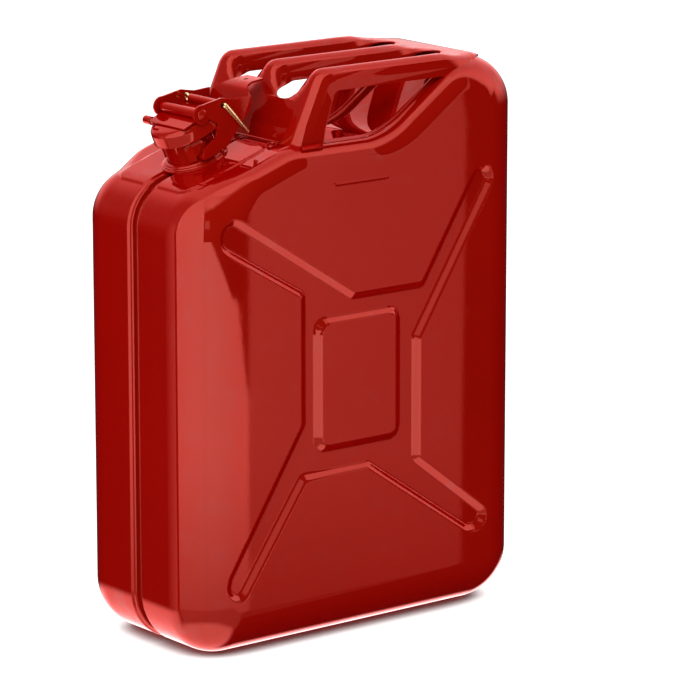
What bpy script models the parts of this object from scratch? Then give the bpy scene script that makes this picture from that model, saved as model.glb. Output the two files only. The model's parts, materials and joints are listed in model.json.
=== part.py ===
"""Twenty litre steel fuel can: two pressed half-shells, a three-bar handle and a lever closure.

Sizes are in metres, +Z is up, the spout end is at -X. The closure is drawn in the neck's own frame:
p runs along the shoulder to the rear, q runs up the neck.
"""

import math

import bmesh
import bpy
from mathutils import Matrix, Vector

# Whole can
WIDTH = 0.345
DEPTH = 0.165
HEIGHT = 0.474
SEAT = 0.0003
SHARPEST_FOLD = 2.5

# Half-shells, side view
SHELL_SHEET = 0.001
HANDLE_RISE = 0.006
SHELL_TOP = HEIGHT - HANDLE_RISE
BOTTOM_RADIUS = 0.046
SHOULDER_RADIUS = 0.041
SHOULDER_RUN = 0.1055
SHOULDER_ANGLE = math.radians(18.5)
CREST_DROP = 0.0595
CREST_HEIGHT = HEIGHT - CREST_DROP
CREST_RADIUS = 0.060
CREST_RUN = 0.076
SCOOP_STEEPER = math.radians(11.4)
REAR_RADIUS = 0.041

# Half-shells, section across the depth
FACE_FILLET = 0.038
LIP_HALF = 0.0085
LIP_DROP = 0.0018
LIP_BEVEL = 0.0013
CHANNEL_HALF = 0.0036
CHANNEL_DEPTH = 0.0072
WELD_HALF = 0.0009
WELD_RISE = 0.0026
WELD_ROOT = 0.0018

# Pressed cross on each face: its middle, the half-sizes of its ring and the ends of its arms in side view
CROSS_X = -0.021 * WIDTH
CROSS_Z = 0.456 * HEIGHT
CROSS_WIDE = 0.1646 * WIDTH
CROSS_TALL = 0.1455 * HEIGHT
ARM_MARGIN = 0.005
ARM_LOW = 0.032
ARM_HIGH = 0.0005
CROSS_DEPTH = 0.0042
CROSS_BEVEL = 0.005
PAD_BEVEL = 0.0062
CROSS_CORNER = 0.009
PAD_BORDER = 0.0108
PAD_CORNER = 0.0125

# Handle
HANDLE_SHEET = 0.0016
FOOT_SETBACK = 0.006
FOOT_DEPTH = 0.026
LEG_ANGLE = math.radians(65.5)
BEND_RADIUS = 0.014
BAR_RADIUS = 0.011
BAR_DEPTH = 0.0175
BAR_SETBACK = 0.0225
BAR_PITCH = DEPTH / 2 - BAR_SETBACK
SCALLOP_RISE = 0.0335
SCALLOP_ROUND = 0.007
SCALLOP_SHARE = 0.66
REAR_TAPER = 0.048
BAR_END = WIDTH / 2 - 0.0785
WINDOW_END = WIDTH / 2 - 0.0515
PLATE_TURN = WIDTH / 2 - 0.0675
PLATE_NARROW = 0.025
REAR_WRAP = 26.0
LINER_SHEET = 0.0014
LINER_START = 0.028
LINER_SIDE = 0.006
TAB_REACH = 0.0075
BEAD_RADIUS = 0.0014
RING_RADIUS = 0.0038
RING_WIRE = 0.0009

# Neck, in its own frame
NECK_SETBACK = 0.0625
NECK_TILT = math.radians(24.0)
NECK_RADIUS = 0.0205
NECK_WALL = 0.0016
NECK_TOP = 0.034
NECK_ROOT = 0.007
NECK_LIP = 0.002
HOLE_CLEARANCE = 0.0008
COLLAR_REACH = 0.007
COLLAR_HEIGHT = 0.0068
BREATHER_RADIUS = 0.004
BREATHER_WALL = 0.001

# Closure, in the neck's frame
CAP_GAP = 0.0021
CAP_SHEET = 0.0012
CAP_SKIRT = 0.0085
CAP_EDGE = 0.005
CAP_REAR = 0.0248
GASKET = 0.003
GASKET_CHAMFER = 0.001
YOKE_SHEET = 0.0014
YOKE_FRONT = 0.0185
YOKE_BEND = 0.009
CURL_RADIUS = 0.0028
CURL_WIDTH = 0.009
PIVOT_P = 0.00485
PIVOT_RADIUS = 0.0026
PIVOT_HEAD = 0.0046
HINGE_P = 0.030
HINGE_Q = 0.020
HINGE_RADIUS = 0.002
STRAP_HALF = 0.0105
LUG_SHEET = 0.002
LEVER_SHEET = 0.0017
LEVER_GAP = 0.0005
LEVER_ROUND = 0.008
HOOK_SLOPE = math.radians(20.0)
HOOK_P = -0.009
HOOK_Q = 0.0112
HOOK_LENGTH = 0.0105
HOOK_RUN = 0.0004
BRACKET_SHEET = 0.0022
TUBE_P = 0.0266
TUBE_Q = 0.0402
TUBE_BORE = 0.0026
TUBE_WALL = 0.0008
WIRE_RADIUS = 0.001
PIN_DROP = 0.031
PIN_LEAN = 0.011
RUN = 0.0003

RED = (0.30, 0.012, 0.008)


def clear_scene():
    """Empty the start-up scene."""
    for thing in list(bpy.data.objects):
        bpy.data.objects.remove(thing, do_unlink=True)


def finish(name, colour, roughness, metallic):
    """A Principled material of one colour."""
    material = bpy.data.materials.new(name)
    material.use_nodes = True
    shader = material.node_tree.nodes["Principled BSDF"]
    shader.inputs["Base Color"].default_value = (*colour, 1.0)
    shader.inputs["Roughness"].default_value = roughness
    shader.inputs["Metallic"].default_value = metallic
    material.diffuse_color = (*colour, 1.0)
    return material


def paint(name):
    """Gloss red paint for the named sub-part."""
    return finish(name + "_paint", RED, 0.22, 0.0)


def add_object(name, shape, material, frame=None, origin=(0.0, 0.0, 0.0)):
    """Turn a bmesh drawn in a frame into an object whose origin is at a point of that frame."""
    shift = Vector(origin)
    bmesh.ops.recalc_face_normals(shape, faces=shape.faces)
    for vertex in shape.verts:
        vertex.co -= shift
    mesh = bpy.data.meshes.new(name)
    shape.to_mesh(mesh)
    shape.free()
    mesh.shade_smooth()
    mesh.set_sharp_from_angle(angle=math.radians(38))
    thing = bpy.data.objects.new(name, mesh)
    if material is not None:
        mesh.materials.append(material)
    thing.matrix_world = (frame or Matrix.Identity(4)) @ Matrix.Translation(shift)
    bpy.context.scene.collection.objects.link(thing)
    return thing


def add_helper(name, shape, frame=None):
    """A cutter or a piece to be joined, kept out of the render."""
    helper = add_object(name, shape, None, frame)
    helper.hide_render = True
    helper.display_type = "WIRE"
    return helper


def combine(target, helper, operation):
    """Cut a helper from an object, or join it on."""
    step = target.modifiers.new(helper.name, "BOOLEAN")
    step.operation = operation
    step.solver = "EXACT"
    step.object = helper


def loft(shape, rings, closed_rings=True, closed_path=False):
    """Skin rings of equal point counts with quads and return their rows of vertices."""
    rows = [[shape.verts.new(point) for point in ring] for ring in rings]
    pairs = list(zip(rows, rows[1:]))
    if closed_path:
        pairs.append((rows[-1], rows[0]))
    for low, high in pairs:
        last = len(low) if closed_rings else len(low) - 1
        for index in range(last):
            after = (index + 1) % len(low)
            shape.faces.new((low[index], low[after], high[after], high[index]))
    return rows


def thicken(shape, thickness):
    """Give an open skin a wall on the side that its normals point away from."""
    shape.normal_update()
    skin = list(shape.faces)
    rim = [edge for edge in shape.edges if edge.is_boundary]
    backs = {}
    for vertex in list(shape.verts):
        offset = vertex.normal * thickness * min(vertex.calc_shell_factor(), SHARPEST_FOLD)
        backs[vertex] = shape.verts.new(vertex.co - offset)
    for face in skin:
        shape.faces.new([backs[vertex] for vertex in reversed(face.verts)])
    for edge in rim:
        first, second = edge.verts
        shape.faces.new((first, second, backs[second], backs[first]))


def lathe(profile, steps=26, lean=None):
    """Revolve a closed (radius, height) profile about q; lean(p, share) may shift a point up or down."""
    shape = bmesh.new()
    rings = []
    for step in range(steps):
        turn = math.tau * step / steps
        ring = []
        for radius, height, *share in profile:
            p = radius * math.cos(turn)
            rise = lean(p, share[0]) if lean else 0.0
            ring.append(Vector((p, radius * math.sin(turn), height + rise)))
        rings.append(ring)
    loft(shape, rings, closed_path=True)
    return shape


def rod(radius, start, end, steps=24):
    """A cylinder along Y as (p, q) centred at the frame's origin."""
    shape = bmesh.new()
    circle = [math.tau * step / steps for step in range(steps)]
    rings = [[(radius * math.cos(turn), y, radius * math.sin(turn)) for turn in circle] for y in (start, end)]
    low, high = loft(shape, rings)
    shape.faces.new(low)
    shape.faces.new(high)
    return shape


def slab(outline, start, end):
    """Extrude a (p, q) outline along Y."""
    shape = bmesh.new()
    low, high = loft(shape, [[(p, y, q) for p, q in outline] for y in (start, end)])
    shape.faces.new(low)
    shape.faces.new(high)
    return shape


def band(path, thickness):
    """The closed outline of a strip bent along a centre line."""
    sides = ([], [])
    for index, point in enumerate(path):
        before = path[max(index - 1, 0)]
        after = path[min(index + 1, len(path) - 1)]
        along = (after - before).normalized()
        across = Vector((-along.y, along.x)) * thickness / 2
        sides[0].append(point + across)
        sides[1].append(point - across)
    return sides[0] + sides[1][::-1]


def arc_points(centre, radius, start, end, steps):
    """Points of an arc in (p, q), in degrees."""
    angles = [math.radians(start + (end - start) * step / steps) for step in range(steps + 1)]
    return [Vector((centre[0] + radius * math.cos(a), centre[1] + radius * math.sin(a))) for a in angles]


def rounded(corners, radius, steps=3):
    """Round each corner of a closed outline, the radius shrinking where a side is short."""
    result = []
    count = len(corners)
    for index, corner in enumerate(corners):
        to_last = corners[index - 1] - corner
        to_next = corners[(index + 1) % count] - corner
        half = to_last.angle(to_next) / 2
        reach = min(radius / math.tan(half), 0.45 * to_last.length, 0.45 * to_next.length)
        start = corner + to_last.normalized() * reach
        end = corner + to_next.normalized() * reach
        for step in range(steps + 1):
            share = step / steps
            first = start.lerp(corner, share)
            second = corner.lerp(end, share)
            result.append(first.lerp(second, share))
    return result


def shell_arc(centre, radius, start, end, steps, hollow=False):
    """(point, outward normal) pairs along an arc of the side view."""
    pairs = []
    for point in arc_points(centre, radius, start, end, steps):
        outward = (point - Vector(centre)).normalized()
        pairs.append((point, -outward if hollow else outward))
    return pairs


def crest_x():
    """Where the shoulder's slope would meet the crest."""
    return -WIDTH / 2 + SHOULDER_RUN


def scoop_shape():
    """Angle, radius and straight ramp of the double bend that climbs from the crest to the rear."""
    run = WIDTH / 2 - REAR_RADIUS - crest_x() - CREST_RUN
    rise = SHELL_TOP - CREST_HEIGHT
    angle = math.atan2(rise, run) + SCOOP_STEEPER
    ramp = rise / math.tan(angle / 2) - run
    radius = (run - ramp * math.cos(angle)) / (2 * math.sin(angle))
    return angle, radius


def shell_outline():
    """The can's side view, from the front of the bottom, up the front, over the top and down the rear."""
    front, rear = -WIDTH / 2, WIDTH / 2
    bend = crest_x()
    slope = math.degrees(SHOULDER_ANGLE)
    front_x = front + SHOULDER_RADIUS
    drop = SHOULDER_RADIUS + (bend - front_x) * math.sin(SHOULDER_ANGLE)
    front_z = CREST_HEIGHT - drop / math.cos(SHOULDER_ANGLE)
    crest_centre = bend + CREST_RADIUS * math.tan(SHOULDER_ANGLE / 2)
    scoop_x = bend + CREST_RUN
    rear_x = rear - REAR_RADIUS
    angle, scoop = scoop_shape()
    turn = math.degrees(angle)
    pairs = shell_arc((front + BOTTOM_RADIUS, BOTTOM_RADIUS), BOTTOM_RADIUS, 270, 180, 7)
    pairs += shell_arc((front_x, front_z), SHOULDER_RADIUS, 180, 90 + slope, 7)
    pairs += shell_arc((crest_centre, CREST_HEIGHT - CREST_RADIUS), CREST_RADIUS, 90 + slope, 90, 3)
    pairs += shell_arc((scoop_x, CREST_HEIGHT + scoop), scoop, 270, 270 + turn, 5, True)
    pairs += shell_arc((rear_x, SHELL_TOP - scoop), scoop, 90 + turn, 90, 5)
    pairs += shell_arc((rear_x, SHELL_TOP - REAR_RADIUS), REAR_RADIUS, 90, 0, 7)[1:]
    pairs += shell_arc((rear - BOTTOM_RADIUS, BOTTOM_RADIUS), BOTTOM_RADIUS, 0, -90, 7)
    return pairs


OUTLINE = shell_outline()


def inset_at(y):
    """How far the face fillet has drawn the outline in at a distance from the middle."""
    over = abs(y) - (DEPTH / 2 - FACE_FILLET)
    if over <= 0:
        return 0.0
    return FACE_FILLET - math.sqrt(max(FACE_FILLET**2 - over**2, 0.0))


def ring_at(y, inset):
    """The outline drawn in by an inset, as a ring at a distance from the middle."""
    return [(point.x - normal.x * inset, y, point.y - normal.y * inset) for point, normal in OUTLINE]


def shell_height(x, y):
    """Height of the shell's top surface at a place."""
    inset = inset_at(y)
    top = [point - normal * inset for point, normal in OUTLINE if normal.y > 0.02]
    for first, second in zip(top, top[1:]):
        if first.x <= x <= second.x:
            share = (x - first.x) / max(second.x - first.x, 1e-9)
            return first.y + (second.y - first.y) * share
    return -1.0


def shell_section():
    """(distance from the middle, inset) of each ring of a half-shell, from the seam to the face."""
    root = WELD_HALF + SEAT
    rows = [(root, CHANNEL_DEPTH), (CHANNEL_HALF, CHANNEL_DEPTH)]
    rows += [(CHANNEL_HALF + LIP_BEVEL / 2, LIP_DROP + LIP_BEVEL / 2), (CHANNEL_HALF + LIP_BEVEL, LIP_DROP)]
    rows += [(LIP_HALF - LIP_BEVEL, LIP_DROP), (LIP_HALF, 0.0)]
    flat = DEPTH / 2 - FACE_FILLET
    rows += [((LIP_HALF + flat) / 2, 0.0)]
    steps = 6
    for step in range(steps + 1):
        turn = math.pi / 2 * step / steps
        rows.append((flat + FACE_FILLET * math.sin(turn), FACE_FILLET * (1 - math.cos(turn))))
    return rows


def cross_ring():
    """Left, right, low and high sides of the pressed ring."""
    return CROSS_X - CROSS_WIDE, CROSS_X + CROSS_WIDE, CROSS_Z - CROSS_TALL, CROSS_Z + CROSS_TALL


def cross_outline():
    """Plateau edge of the pressed cross: a ring round the middle pad and four arms to the face's corners."""
    left, right, low, high = cross_ring()
    end = WIDTH / 2 - FACE_FILLET - ARM_MARGIN
    foot = FACE_FILLET + ARM_LOW
    head = CREST_HEIGHT - FACE_FILLET - ARM_HIGH
    slope_end = CREST_HEIGHT - FACE_FILLET - (crest_x() + end) * math.tan(SHOULDER_ANGLE) - 2 * ARM_MARGIN
    corners = [(left + 0.0495, high), (right + 0.0115, high), (end - 0.014, head - 0.003), (end - 0.0055, head)]
    corners += [(end - 0.001, head - 0.009), (right, high - 0.039), (right, low - 0.008)]
    corners += [(end - 0.006, foot + 0.011), (end - 0.010, foot + 0.003), (end - 0.019, foot + 0.0035)]
    corners += [(right - 0.046, low), (left - 0.005, low), (-end + 0.009, foot - 0.013), (-end, foot - 0.009)]
    corners += [(-end, foot + 0.004), (left, low + 0.040), (left, high + 0.013), (-end, slope_end - 0.009)]
    corners += [(-end + 0.0005, slope_end), (-end + 0.008, slope_end + 0.003)]
    return [Vector(corner) for corner in corners]


def draw_in(outline, distance):
    """Offset a clockwise outline towards its inside."""
    result = []
    for index, corner in enumerate(outline):
        before = (corner - outline[index - 1]).normalized()
        after = (outline[(index + 1) % len(outline)] - corner).normalized()
        first = Vector((before.y, -before.x))
        second = Vector((after.y, -after.x))
        middle = (first + second).normalized()
        result.append(corner + middle * distance / max(middle.dot(first), 0.45))
    return result


def press_face(shape, rim, side):
    """Close a half-shell's face: a plateau, the sunk cross and the pad in its middle."""
    level = side * DEPTH / 2
    floor = side * (DEPTH / 2 - CROSS_DEPTH)
    edge = rounded(cross_outline(), CROSS_CORNER)
    foot = rounded(draw_in(cross_outline(), CROSS_BEVEL), CROSS_CORNER / 2)
    left, right, low, high = cross_ring()
    west, east, south, north = left + PAD_BORDER, right - PAD_BORDER, low + PAD_BORDER, high - PAD_BORDER
    pad = [Vector(corner) for corner in ((west, south), (west, north), (east, north), (east, south))]
    pad_foot = rounded(pad, PAD_CORNER)
    pad_top = rounded(draw_in(pad, PAD_BEVEL), PAD_CORNER - PAD_BEVEL / 2)
    wall = loft(shape, [[(p.x, level, p.y) for p in edge], [(p.x, floor, p.y) for p in foot]])
    rise = loft(shape, [[(p.x, floor, p.y) for p in pad_foot], [(p.x, level, p.y) for p in pad_top]])
    shape.faces.new(rise[1])
    for outer, inner in ((rim, wall[0]), (wall[1], rise[0])):
        loops = [[ring[i - 1], ring[i]] for ring in (outer, inner) for i in range(len(ring))]
        edges = [shape.edges.get(pair) or shape.edges.new(pair) for pair in loops]
        bmesh.ops.triangle_fill(shape, use_beauty=True, edges=edges)


def half_shell(name, side):
    """One pressed half of the tank, with its share of the recessed seam."""
    shape = bmesh.new()
    rows = loft(shape, [ring_at(side * y, inset) for y, inset in shell_section()])
    press_face(shape, rows[-1], side)
    bmesh.ops.recalc_face_normals(shape, faces=shape.faces)
    shape.normal_update()
    highest = max(shape.faces, key=lambda face: side * face.calc_center_median().y)
    if highest.normal.y * side < 0:
        bmesh.ops.reverse_faces(shape, faces=shape.faces)
    thicken(shape, SHELL_SHEET)
    return add_object(name, shape, paint(name))


def weld_bead():
    """The welded seam that runs round the can at the bottom of its channel."""
    shape = bmesh.new()
    crown = CHANNEL_DEPTH - WELD_RISE
    root = CHANNEL_DEPTH + WELD_ROOT
    section = [(WELD_HALF, root), (WELD_HALF, crown + WELD_HALF / 2), (0.0, crown)]
    section += [(-WELD_HALF, crown + WELD_HALF / 2), (-WELD_HALF, root)]
    loft(shape, [ring_at(y, inset) for y, inset in section], closed_path=True)
    return add_object("seam_weld", shape, paint("seam_weld"))


def neck_frame():
    """Frame of the neck: its origin is where the neck's axis meets the shoulder."""
    x = -WIDTH / 2 + NECK_SETBACK
    z = CREST_HEIGHT - (crest_x() - x) * math.tan(SHOULDER_ANGLE)
    return Matrix.Translation((x, 0.0, z)) @ Matrix.Rotation(-NECK_TILT, 4, "Y")


def cut_neck_hole(targets, frame):
    """Open the shells and the seam where the neck goes in."""
    radius = NECK_RADIUS + HOLE_CLEARANCE
    profile = [(radius, -0.030), (radius, 0.030)]
    shape = bmesh.new()
    circle = [math.tau * step / 40 for step in range(40)]
    rings = [[(r * math.cos(turn), r * math.sin(turn), q) for turn in circle] for r, q in profile]
    low, high = loft(shape, rings)
    shape.faces.new(low)
    shape.faces.new(high)
    cutter = add_helper("neck_hole_cutter", shape, frame)
    for target in targets:
        combine(target, cutter, "DIFFERENCE")


def body():
    """The tank: two half-shells and their weld, opened for the neck."""
    near = half_shell("shell_near", -1)
    far = half_shell("shell_far", 1)
    cut_neck_hole([near, far, weld_bead()], neck_frame())


def smooth_step(share):
    """Ease from 0 to 1."""
    share = min(max(share, 0.0), 1.0)
    return share * share * (3 - 2 * share)


def foot_x():
    """Front line of the handle's feet."""
    return crest_x() + FOOT_SETBACK


def bend_centre():
    """Centre of the bend between the legs and the bars."""
    low = HEIGHT - BEND_RADIUS - CREST_HEIGHT
    across = (BEND_RADIUS + low * math.cos(LEG_ANGLE)) / math.sin(LEG_ANGLE)
    return Vector((foot_x() + across, HEIGHT - BEND_RADIUS))


def window_share(height):
    """How far a window is open at a height: a round lower end that flares towards the bars."""
    rise = height - CREST_HEIGHT - SCALLOP_RISE
    if rise < SEAT / 10:
        return 0.0
    low = min(rise / SCALLOP_ROUND, 1.0)
    flare = smooth_step(rise / (HEIGHT - CREST_HEIGHT - SCALLOP_RISE))
    return SCALLOP_SHARE * math.sqrt(1 - (1 - low) ** 2) + (1 - SCALLOP_SHARE) * flare


def window_flange(height):
    """Share of the bars' full skirt that a window's edge has at a height."""
    rise = height - CREST_HEIGHT - SCALLOP_RISE
    curl = 0.15 + 0.85 * smooth_step(rise / (HEIGHT - CREST_HEIGHT - SCALLOP_RISE))
    return curl * min(3 * window_share(height), 1.0)


def handle_rows():
    """(front line, edge line, open share, flange share) for each row of the handle pressing."""
    centre = bend_centre()
    foot = Vector((foot_x(), CREST_HEIGHT))
    climb = Vector((math.cos(LEG_ANGLE), math.sin(LEG_ANGLE)))
    leg_top = centre + BEND_RADIUS * Vector((-climb.y, climb.x))
    leg = (leg_top - foot).length
    knee = Vector((centre.x + BEND_RADIUS / 4, HEIGHT - BAR_DEPTH))
    heel = Vector((foot.x + FOOT_DEPTH, CREST_HEIGHT))
    knee_low = knee.lerp(heel, 0.12)
    knee_high = knee + Vector((BEND_RADIUS / 3, 0.0))
    first = SCALLOP_RISE / climb.y
    rises = (0.0, 0.05, 0.2, 0.45, 1.0, 1.7)
    places = [0.0, 0.5 * first] + [first + SCALLOP_ROUND * rise for rise in rises] + [leg]
    rows = []
    for place in places:
        spot = foot + climb * place
        rows.append((spot, heel.lerp(knee_low, place / leg), window_share(spot.y), window_flange(spot.y)))
    steps = 4
    for step in range(1, steps + 1):
        share = step / steps
        turn = math.pi / 2 + LEG_ANGLE * (1 - share)
        line = centre + BEND_RADIUS * Vector((math.cos(turn), math.sin(turn)))
        edge = knee_low.lerp(knee, share).lerp(knee.lerp(knee_high, share), share)
        rows.append((line, edge, window_share(line.y), window_flange(line.y)))
    taper = WINDOW_END - REAR_TAPER
    x = (knee_high.x + taper) / 2
    rows.append((Vector((x, HEIGHT)), Vector((x, HEIGHT - BAR_DEPTH)), 1.0, 1.0))
    steps = 6
    for step in range(steps + 1):
        share = math.sin(math.pi / 2 * step / steps)
        x = taper + REAR_TAPER * share
        is_open = math.sqrt(max(1 - share**1.6, 0.0))
        rows.append((rear_line(x), Vector((x, HEIGHT - BAR_DEPTH)), is_open, is_open))
    return rows


def rear_line(x):
    """The bars' top line as it comes down onto the shell behind the windows."""
    seat_x = WIDTH / 2 - REAR_RADIUS
    share = smooth_step((x - BAR_END) / (seat_x - BAR_END))
    seat = shell_height(x, 0.0) + HANDLE_SHEET + 2 * SEAT
    return Vector((x, HEIGHT + (seat - HEIGHT) * share))


def plate_narrowing(x):
    """How far the outer edges of the rear plate have come in, towards its rounded end."""
    end = WIDTH / 2 - REAR_RADIUS + (REAR_RADIUS + HANDLE_SHEET) * math.sin(math.radians(REAR_WRAP))
    share = min(max((x - PLATE_TURN) / (end - PLATE_TURN), 0.0), 1.0)
    return PLATE_NARROW * share * share


def bar_section(line, edge, is_open, flange, bar):
    """One bar's cross-section: a half-round crown with two skirts, flat where the bars are one plate."""
    depth_line = edge - line
    full = depth_line.length
    down = depth_line.normalized()
    crown_steps = 3
    narrowing = plate_narrowing(line.x) * abs(bar)
    points = []
    for side in (-1, 1):
        outer = bar == side
        formed = 1.0 if outer else flange
        slack = BAR_PITCH / 2 - BAR_RADIUS
        half = BAR_RADIUS if outer else BAR_PITCH / 2 - narrowing - slack * is_open
        middle = bar * (BAR_PITCH - narrowing)
        room = full
        if down.y < -0.9:
            room = line.y - shell_height(line.x, middle + side * half) - SEAT - HANDLE_SHEET / 2
        depth = max(min(full, room), 0.0004) * formed
        crown = min(BAR_RADIUS * formed, 0.62 * depth)
        half_points = []
        for step in range(crown_steps + 1):
            turn = math.pi / 2 * (step / crown_steps) ** 1.4
            spot = line + down * crown * (1 - math.cos(turn))
            half_points.append((spot.x, middle + side * half * math.sin(turn), spot.y))
        spot = line + down * depth
        half_points.append((spot.x, middle + side * half, spot.y))
        points.append(half_points)
    return points[0][:0:-1] + points[1]


def wrap_rows():
    """Rows of (point, normal) where the plate follows the rear corner of the shell."""
    centre = (WIDTH / 2 - REAR_RADIUS, SHELL_TOP - REAR_RADIUS)
    lift = HANDLE_SHEET + 2 * SEAT
    return shell_arc(centre, REAR_RADIUS + lift, 90, 90 - REAR_WRAP, 5)


def handle_frame():
    """The upper handle pressing: feet, three legs, three bars and the plate on the rear corner."""
    shape = bmesh.new()
    rows = handle_rows()
    for bar in (-1, 0, 1):
        rings = [bar_section(*row, bar) for row in rows]
        plate = rings[-1]
        reach = BAR_PITCH + BAR_RADIUS
        last = reach - plate_narrowing(rows[-1][0].x)
        for point, normal in wrap_rows():
            share = (reach - plate_narrowing(point.x)) / last
            ring = []
            for _, y, _ in plate:
                spot = point - normal * inset_at(y * share)
                ring.append((spot.x, y * share, spot.y))
            rings.append(ring)
        loft(shape, rings, closed_rings=False)
    bmesh.ops.remove_doubles(shape, verts=shape.verts, dist=0.00005)
    bmesh.ops.recalc_face_normals(shape, faces=shape.faces)
    shape.normal_update()
    top = max(shape.faces, key=lambda face: face.calc_center_median().z)
    if top.normal.z < 0:
        bmesh.ops.reverse_faces(shape, faces=shape.faces)
    seat_on_shell(shape, 2 * SEAT)
    thicken(shape, HANDLE_SHEET)
    seat_on_shell(shape, 2 * SEAT)
    return add_object("handle_frame", shape, paint("handle_frame"))


def seat_on_shell(shape, lift):
    """Bring the feet down to the crest and keep every point clear of the shell's top."""
    for vertex in shape.verts:
        x, y, z = vertex.co
        ground = shell_height(x, y) + lift
        at_foot = x < foot_x() + FOOT_DEPTH + HANDLE_SHEET and z < CREST_HEIGHT + HANDLE_SHEET
        if at_foot or (x < WIDTH / 2 - REAR_RADIUS and z < ground):
            vertex.co.z = ground


def liner_end():
    """Where the shell's ramp comes up to the bars' lower edge."""
    level = HEIGHT - BAR_DEPTH - 4 * SEAT
    points = [point for point, _ in OUTLINE]
    for first, second in zip(points, points[1:]):
        if first.x > crest_x() and first.y < level <= second.y:
            return first.x + (second.x - first.x) * (level - first.y) / (second.y - first.y)
    return WINDOW_END


def handle_liner(name, bar):
    """The channel that closes a bar from below."""
    half = BAR_RADIUS - HANDLE_SHEET - SEAT
    low = HEIGHT - BAR_DEPTH
    corner = 0.003
    path = [Vector((half - LINER_SHEET / 2, low + LINER_SIDE))]
    path += arc_points((half - LINER_SHEET / 2 - corner, low + LINER_SHEET / 2 + corner), corner, 0, -90, 4)
    path += [Vector((-point.x, point.y)) for point in reversed(path)]
    section = band(path, LINER_SHEET)
    shape = bmesh.new()
    ends = (bend_centre().x + LINER_START, liner_end())
    middle = bar * BAR_PITCH
    low_ring, high_ring = loft(shape, [[(x, middle + y, z) for y, z in section] for x in ends])
    shape.faces.new(low_ring)
    shape.faces.new(high_ring)
    return add_object(name, shape, paint(name))


def foot_tab(name, side):
    """The lug at the foot of an outer leg, spot-welded to the shell's rounded edge."""
    flat = DEPTH / 2 - FACE_FILLET
    reach = FACE_FILLET + SEAT + HANDLE_SHEET
    first = math.asin((BAR_PITCH + BAR_RADIUS + HANDLE_SHEET - flat) / reach)
    last = first + TAB_REACH / reach
    shape = bmesh.new()
    rings = []
    for step in range(2):
        x = foot_x() + FOOT_DEPTH * (step * 0.8 + 0.1)
        ring = []
        for part in range(5):
            turn = first + (last - first) * part / 4
            drop = CREST_HEIGHT - FACE_FILLET + reach * math.cos(turn)
            ring.append((x, side * (flat + reach * math.sin(turn)), drop))
        rings.append(ring)
    loft(shape, rings, closed_rings=False)
    bmesh.ops.recalc_face_normals(shape, faces=shape.faces)
    shape.normal_update()
    if next(iter(shape.faces)).normal.z < 0:
        bmesh.ops.reverse_faces(shape, faces=shape.faces)
    thicken(shape, HANDLE_SHEET)
    return add_object(name, shape, paint(name))


def resting_ring(x, y, radius, wire, steps=14, sides=6):
    """A ring of round wire that follows the shell's top surface."""
    shape = bmesh.new()
    rings = []
    for step in range(steps):
        turn = math.tau * step / steps
        ground = shell_height(x + radius * math.cos(turn), y + radius * math.sin(turn)) + wire + 3 * SEAT
        ring = []
        for part in range(sides):
            roll = math.tau * part / sides
            reach = radius + wire * math.cos(roll)
            ring.append((x + reach * math.cos(turn), y + reach * math.sin(turn), ground + wire * math.sin(roll)))
        rings.append(ring)
    loft(shape, rings, closed_path=True)
    return shape


def foot_bead():
    """Weld bead along the front of the handle's foot."""
    half = BAR_PITCH - BAR_RADIUS
    centre = (foot_x() - BEAD_RADIUS - SEAT, CREST_HEIGHT + SEAT)
    outline = arc_points(centre, BEAD_RADIUS, 0, 180, 8)
    return add_object("foot_bead", slab(outline, -half, half), paint("foot_bead"))


def seal_ring():
    """The small wire ring beside the near foot."""
    x = foot_x() - 2 * BEAD_RADIUS - RING_RADIUS - RING_WIRE - 3 * SEAT
    y = -(BAR_PITCH - BAR_RADIUS)
    return add_object("seal_ring", resting_ring(x, y, RING_RADIUS, RING_WIRE), paint("seal_ring"))


def handle():
    """All pieces of the handle."""
    handle_frame()
    for name, bar in (("near", -1), ("middle", 0), ("far", 1)):
        handle_liner("handle_liner_" + name, bar)
    foot_tab("foot_tab_near", -1)
    foot_tab("foot_tab_far", 1)
    foot_bead()
    seal_ring()


def shoulder_lean(p, share):
    """How far the shoulder falls away below the neck's own cross plane."""
    return -p * math.tan(NECK_TILT - SHOULDER_ANGLE) * share


def neck_tube(frame):
    """The filler neck with its rolled sealing lip."""
    outer, inner = NECK_RADIUS, NECK_RADIUS - NECK_WALL
    lip = NECK_RADIUS + NECK_LIP
    profile = [(outer, -NECK_ROOT), (outer, NECK_TOP - 0.0045), (lip - 0.0003, NECK_TOP - 0.0025)]
    profile += [(lip, NECK_TOP - 0.0012), (lip - 0.0007, NECK_TOP - 0.0002), (lip - 0.0016, NECK_TOP)]
    profile += [(inner + 0.0006, NECK_TOP), (inner + 0.0001, NECK_TOP - 0.001), (inner, -NECK_ROOT)]
    return add_object("neck_tube", lathe(profile), paint("neck_tube"), frame)


def neck_collar(frame):
    """The stepped flange that welds the neck to the shoulder."""
    inner = NECK_RADIUS + SEAT
    reach, height = COLLAR_REACH, COLLAR_HEIGHT
    steps = [(1.0, 0.0, 1.0), (1.0, 0.24, 1.0), (0.76, 0.36, 0.9), (0.72, 0.5, 0.8)]
    steps += [(0.5, 0.6, 0.6), (0.44, 0.8, 0.4), (0.16, 0.94, 0.2), (0.04, 1.0, 0.0)]
    base = SEAT + 0.0002
    profile = [(inner + reach * r, base + height * q, share) for r, q, share in steps]
    profile += [(inner, base + height, 0.0), (inner + SEAT, base, 1.0)]
    return add_object("neck_collar", lathe(profile, lean=shoulder_lean), paint("neck_collar"), frame)


def hook_line(p):
    """Underside of the bracket's arm, which the lever's lip draws up to."""
    return HOOK_Q + (p - HOOK_P) * math.tan(HOOK_SLOPE)


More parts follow.
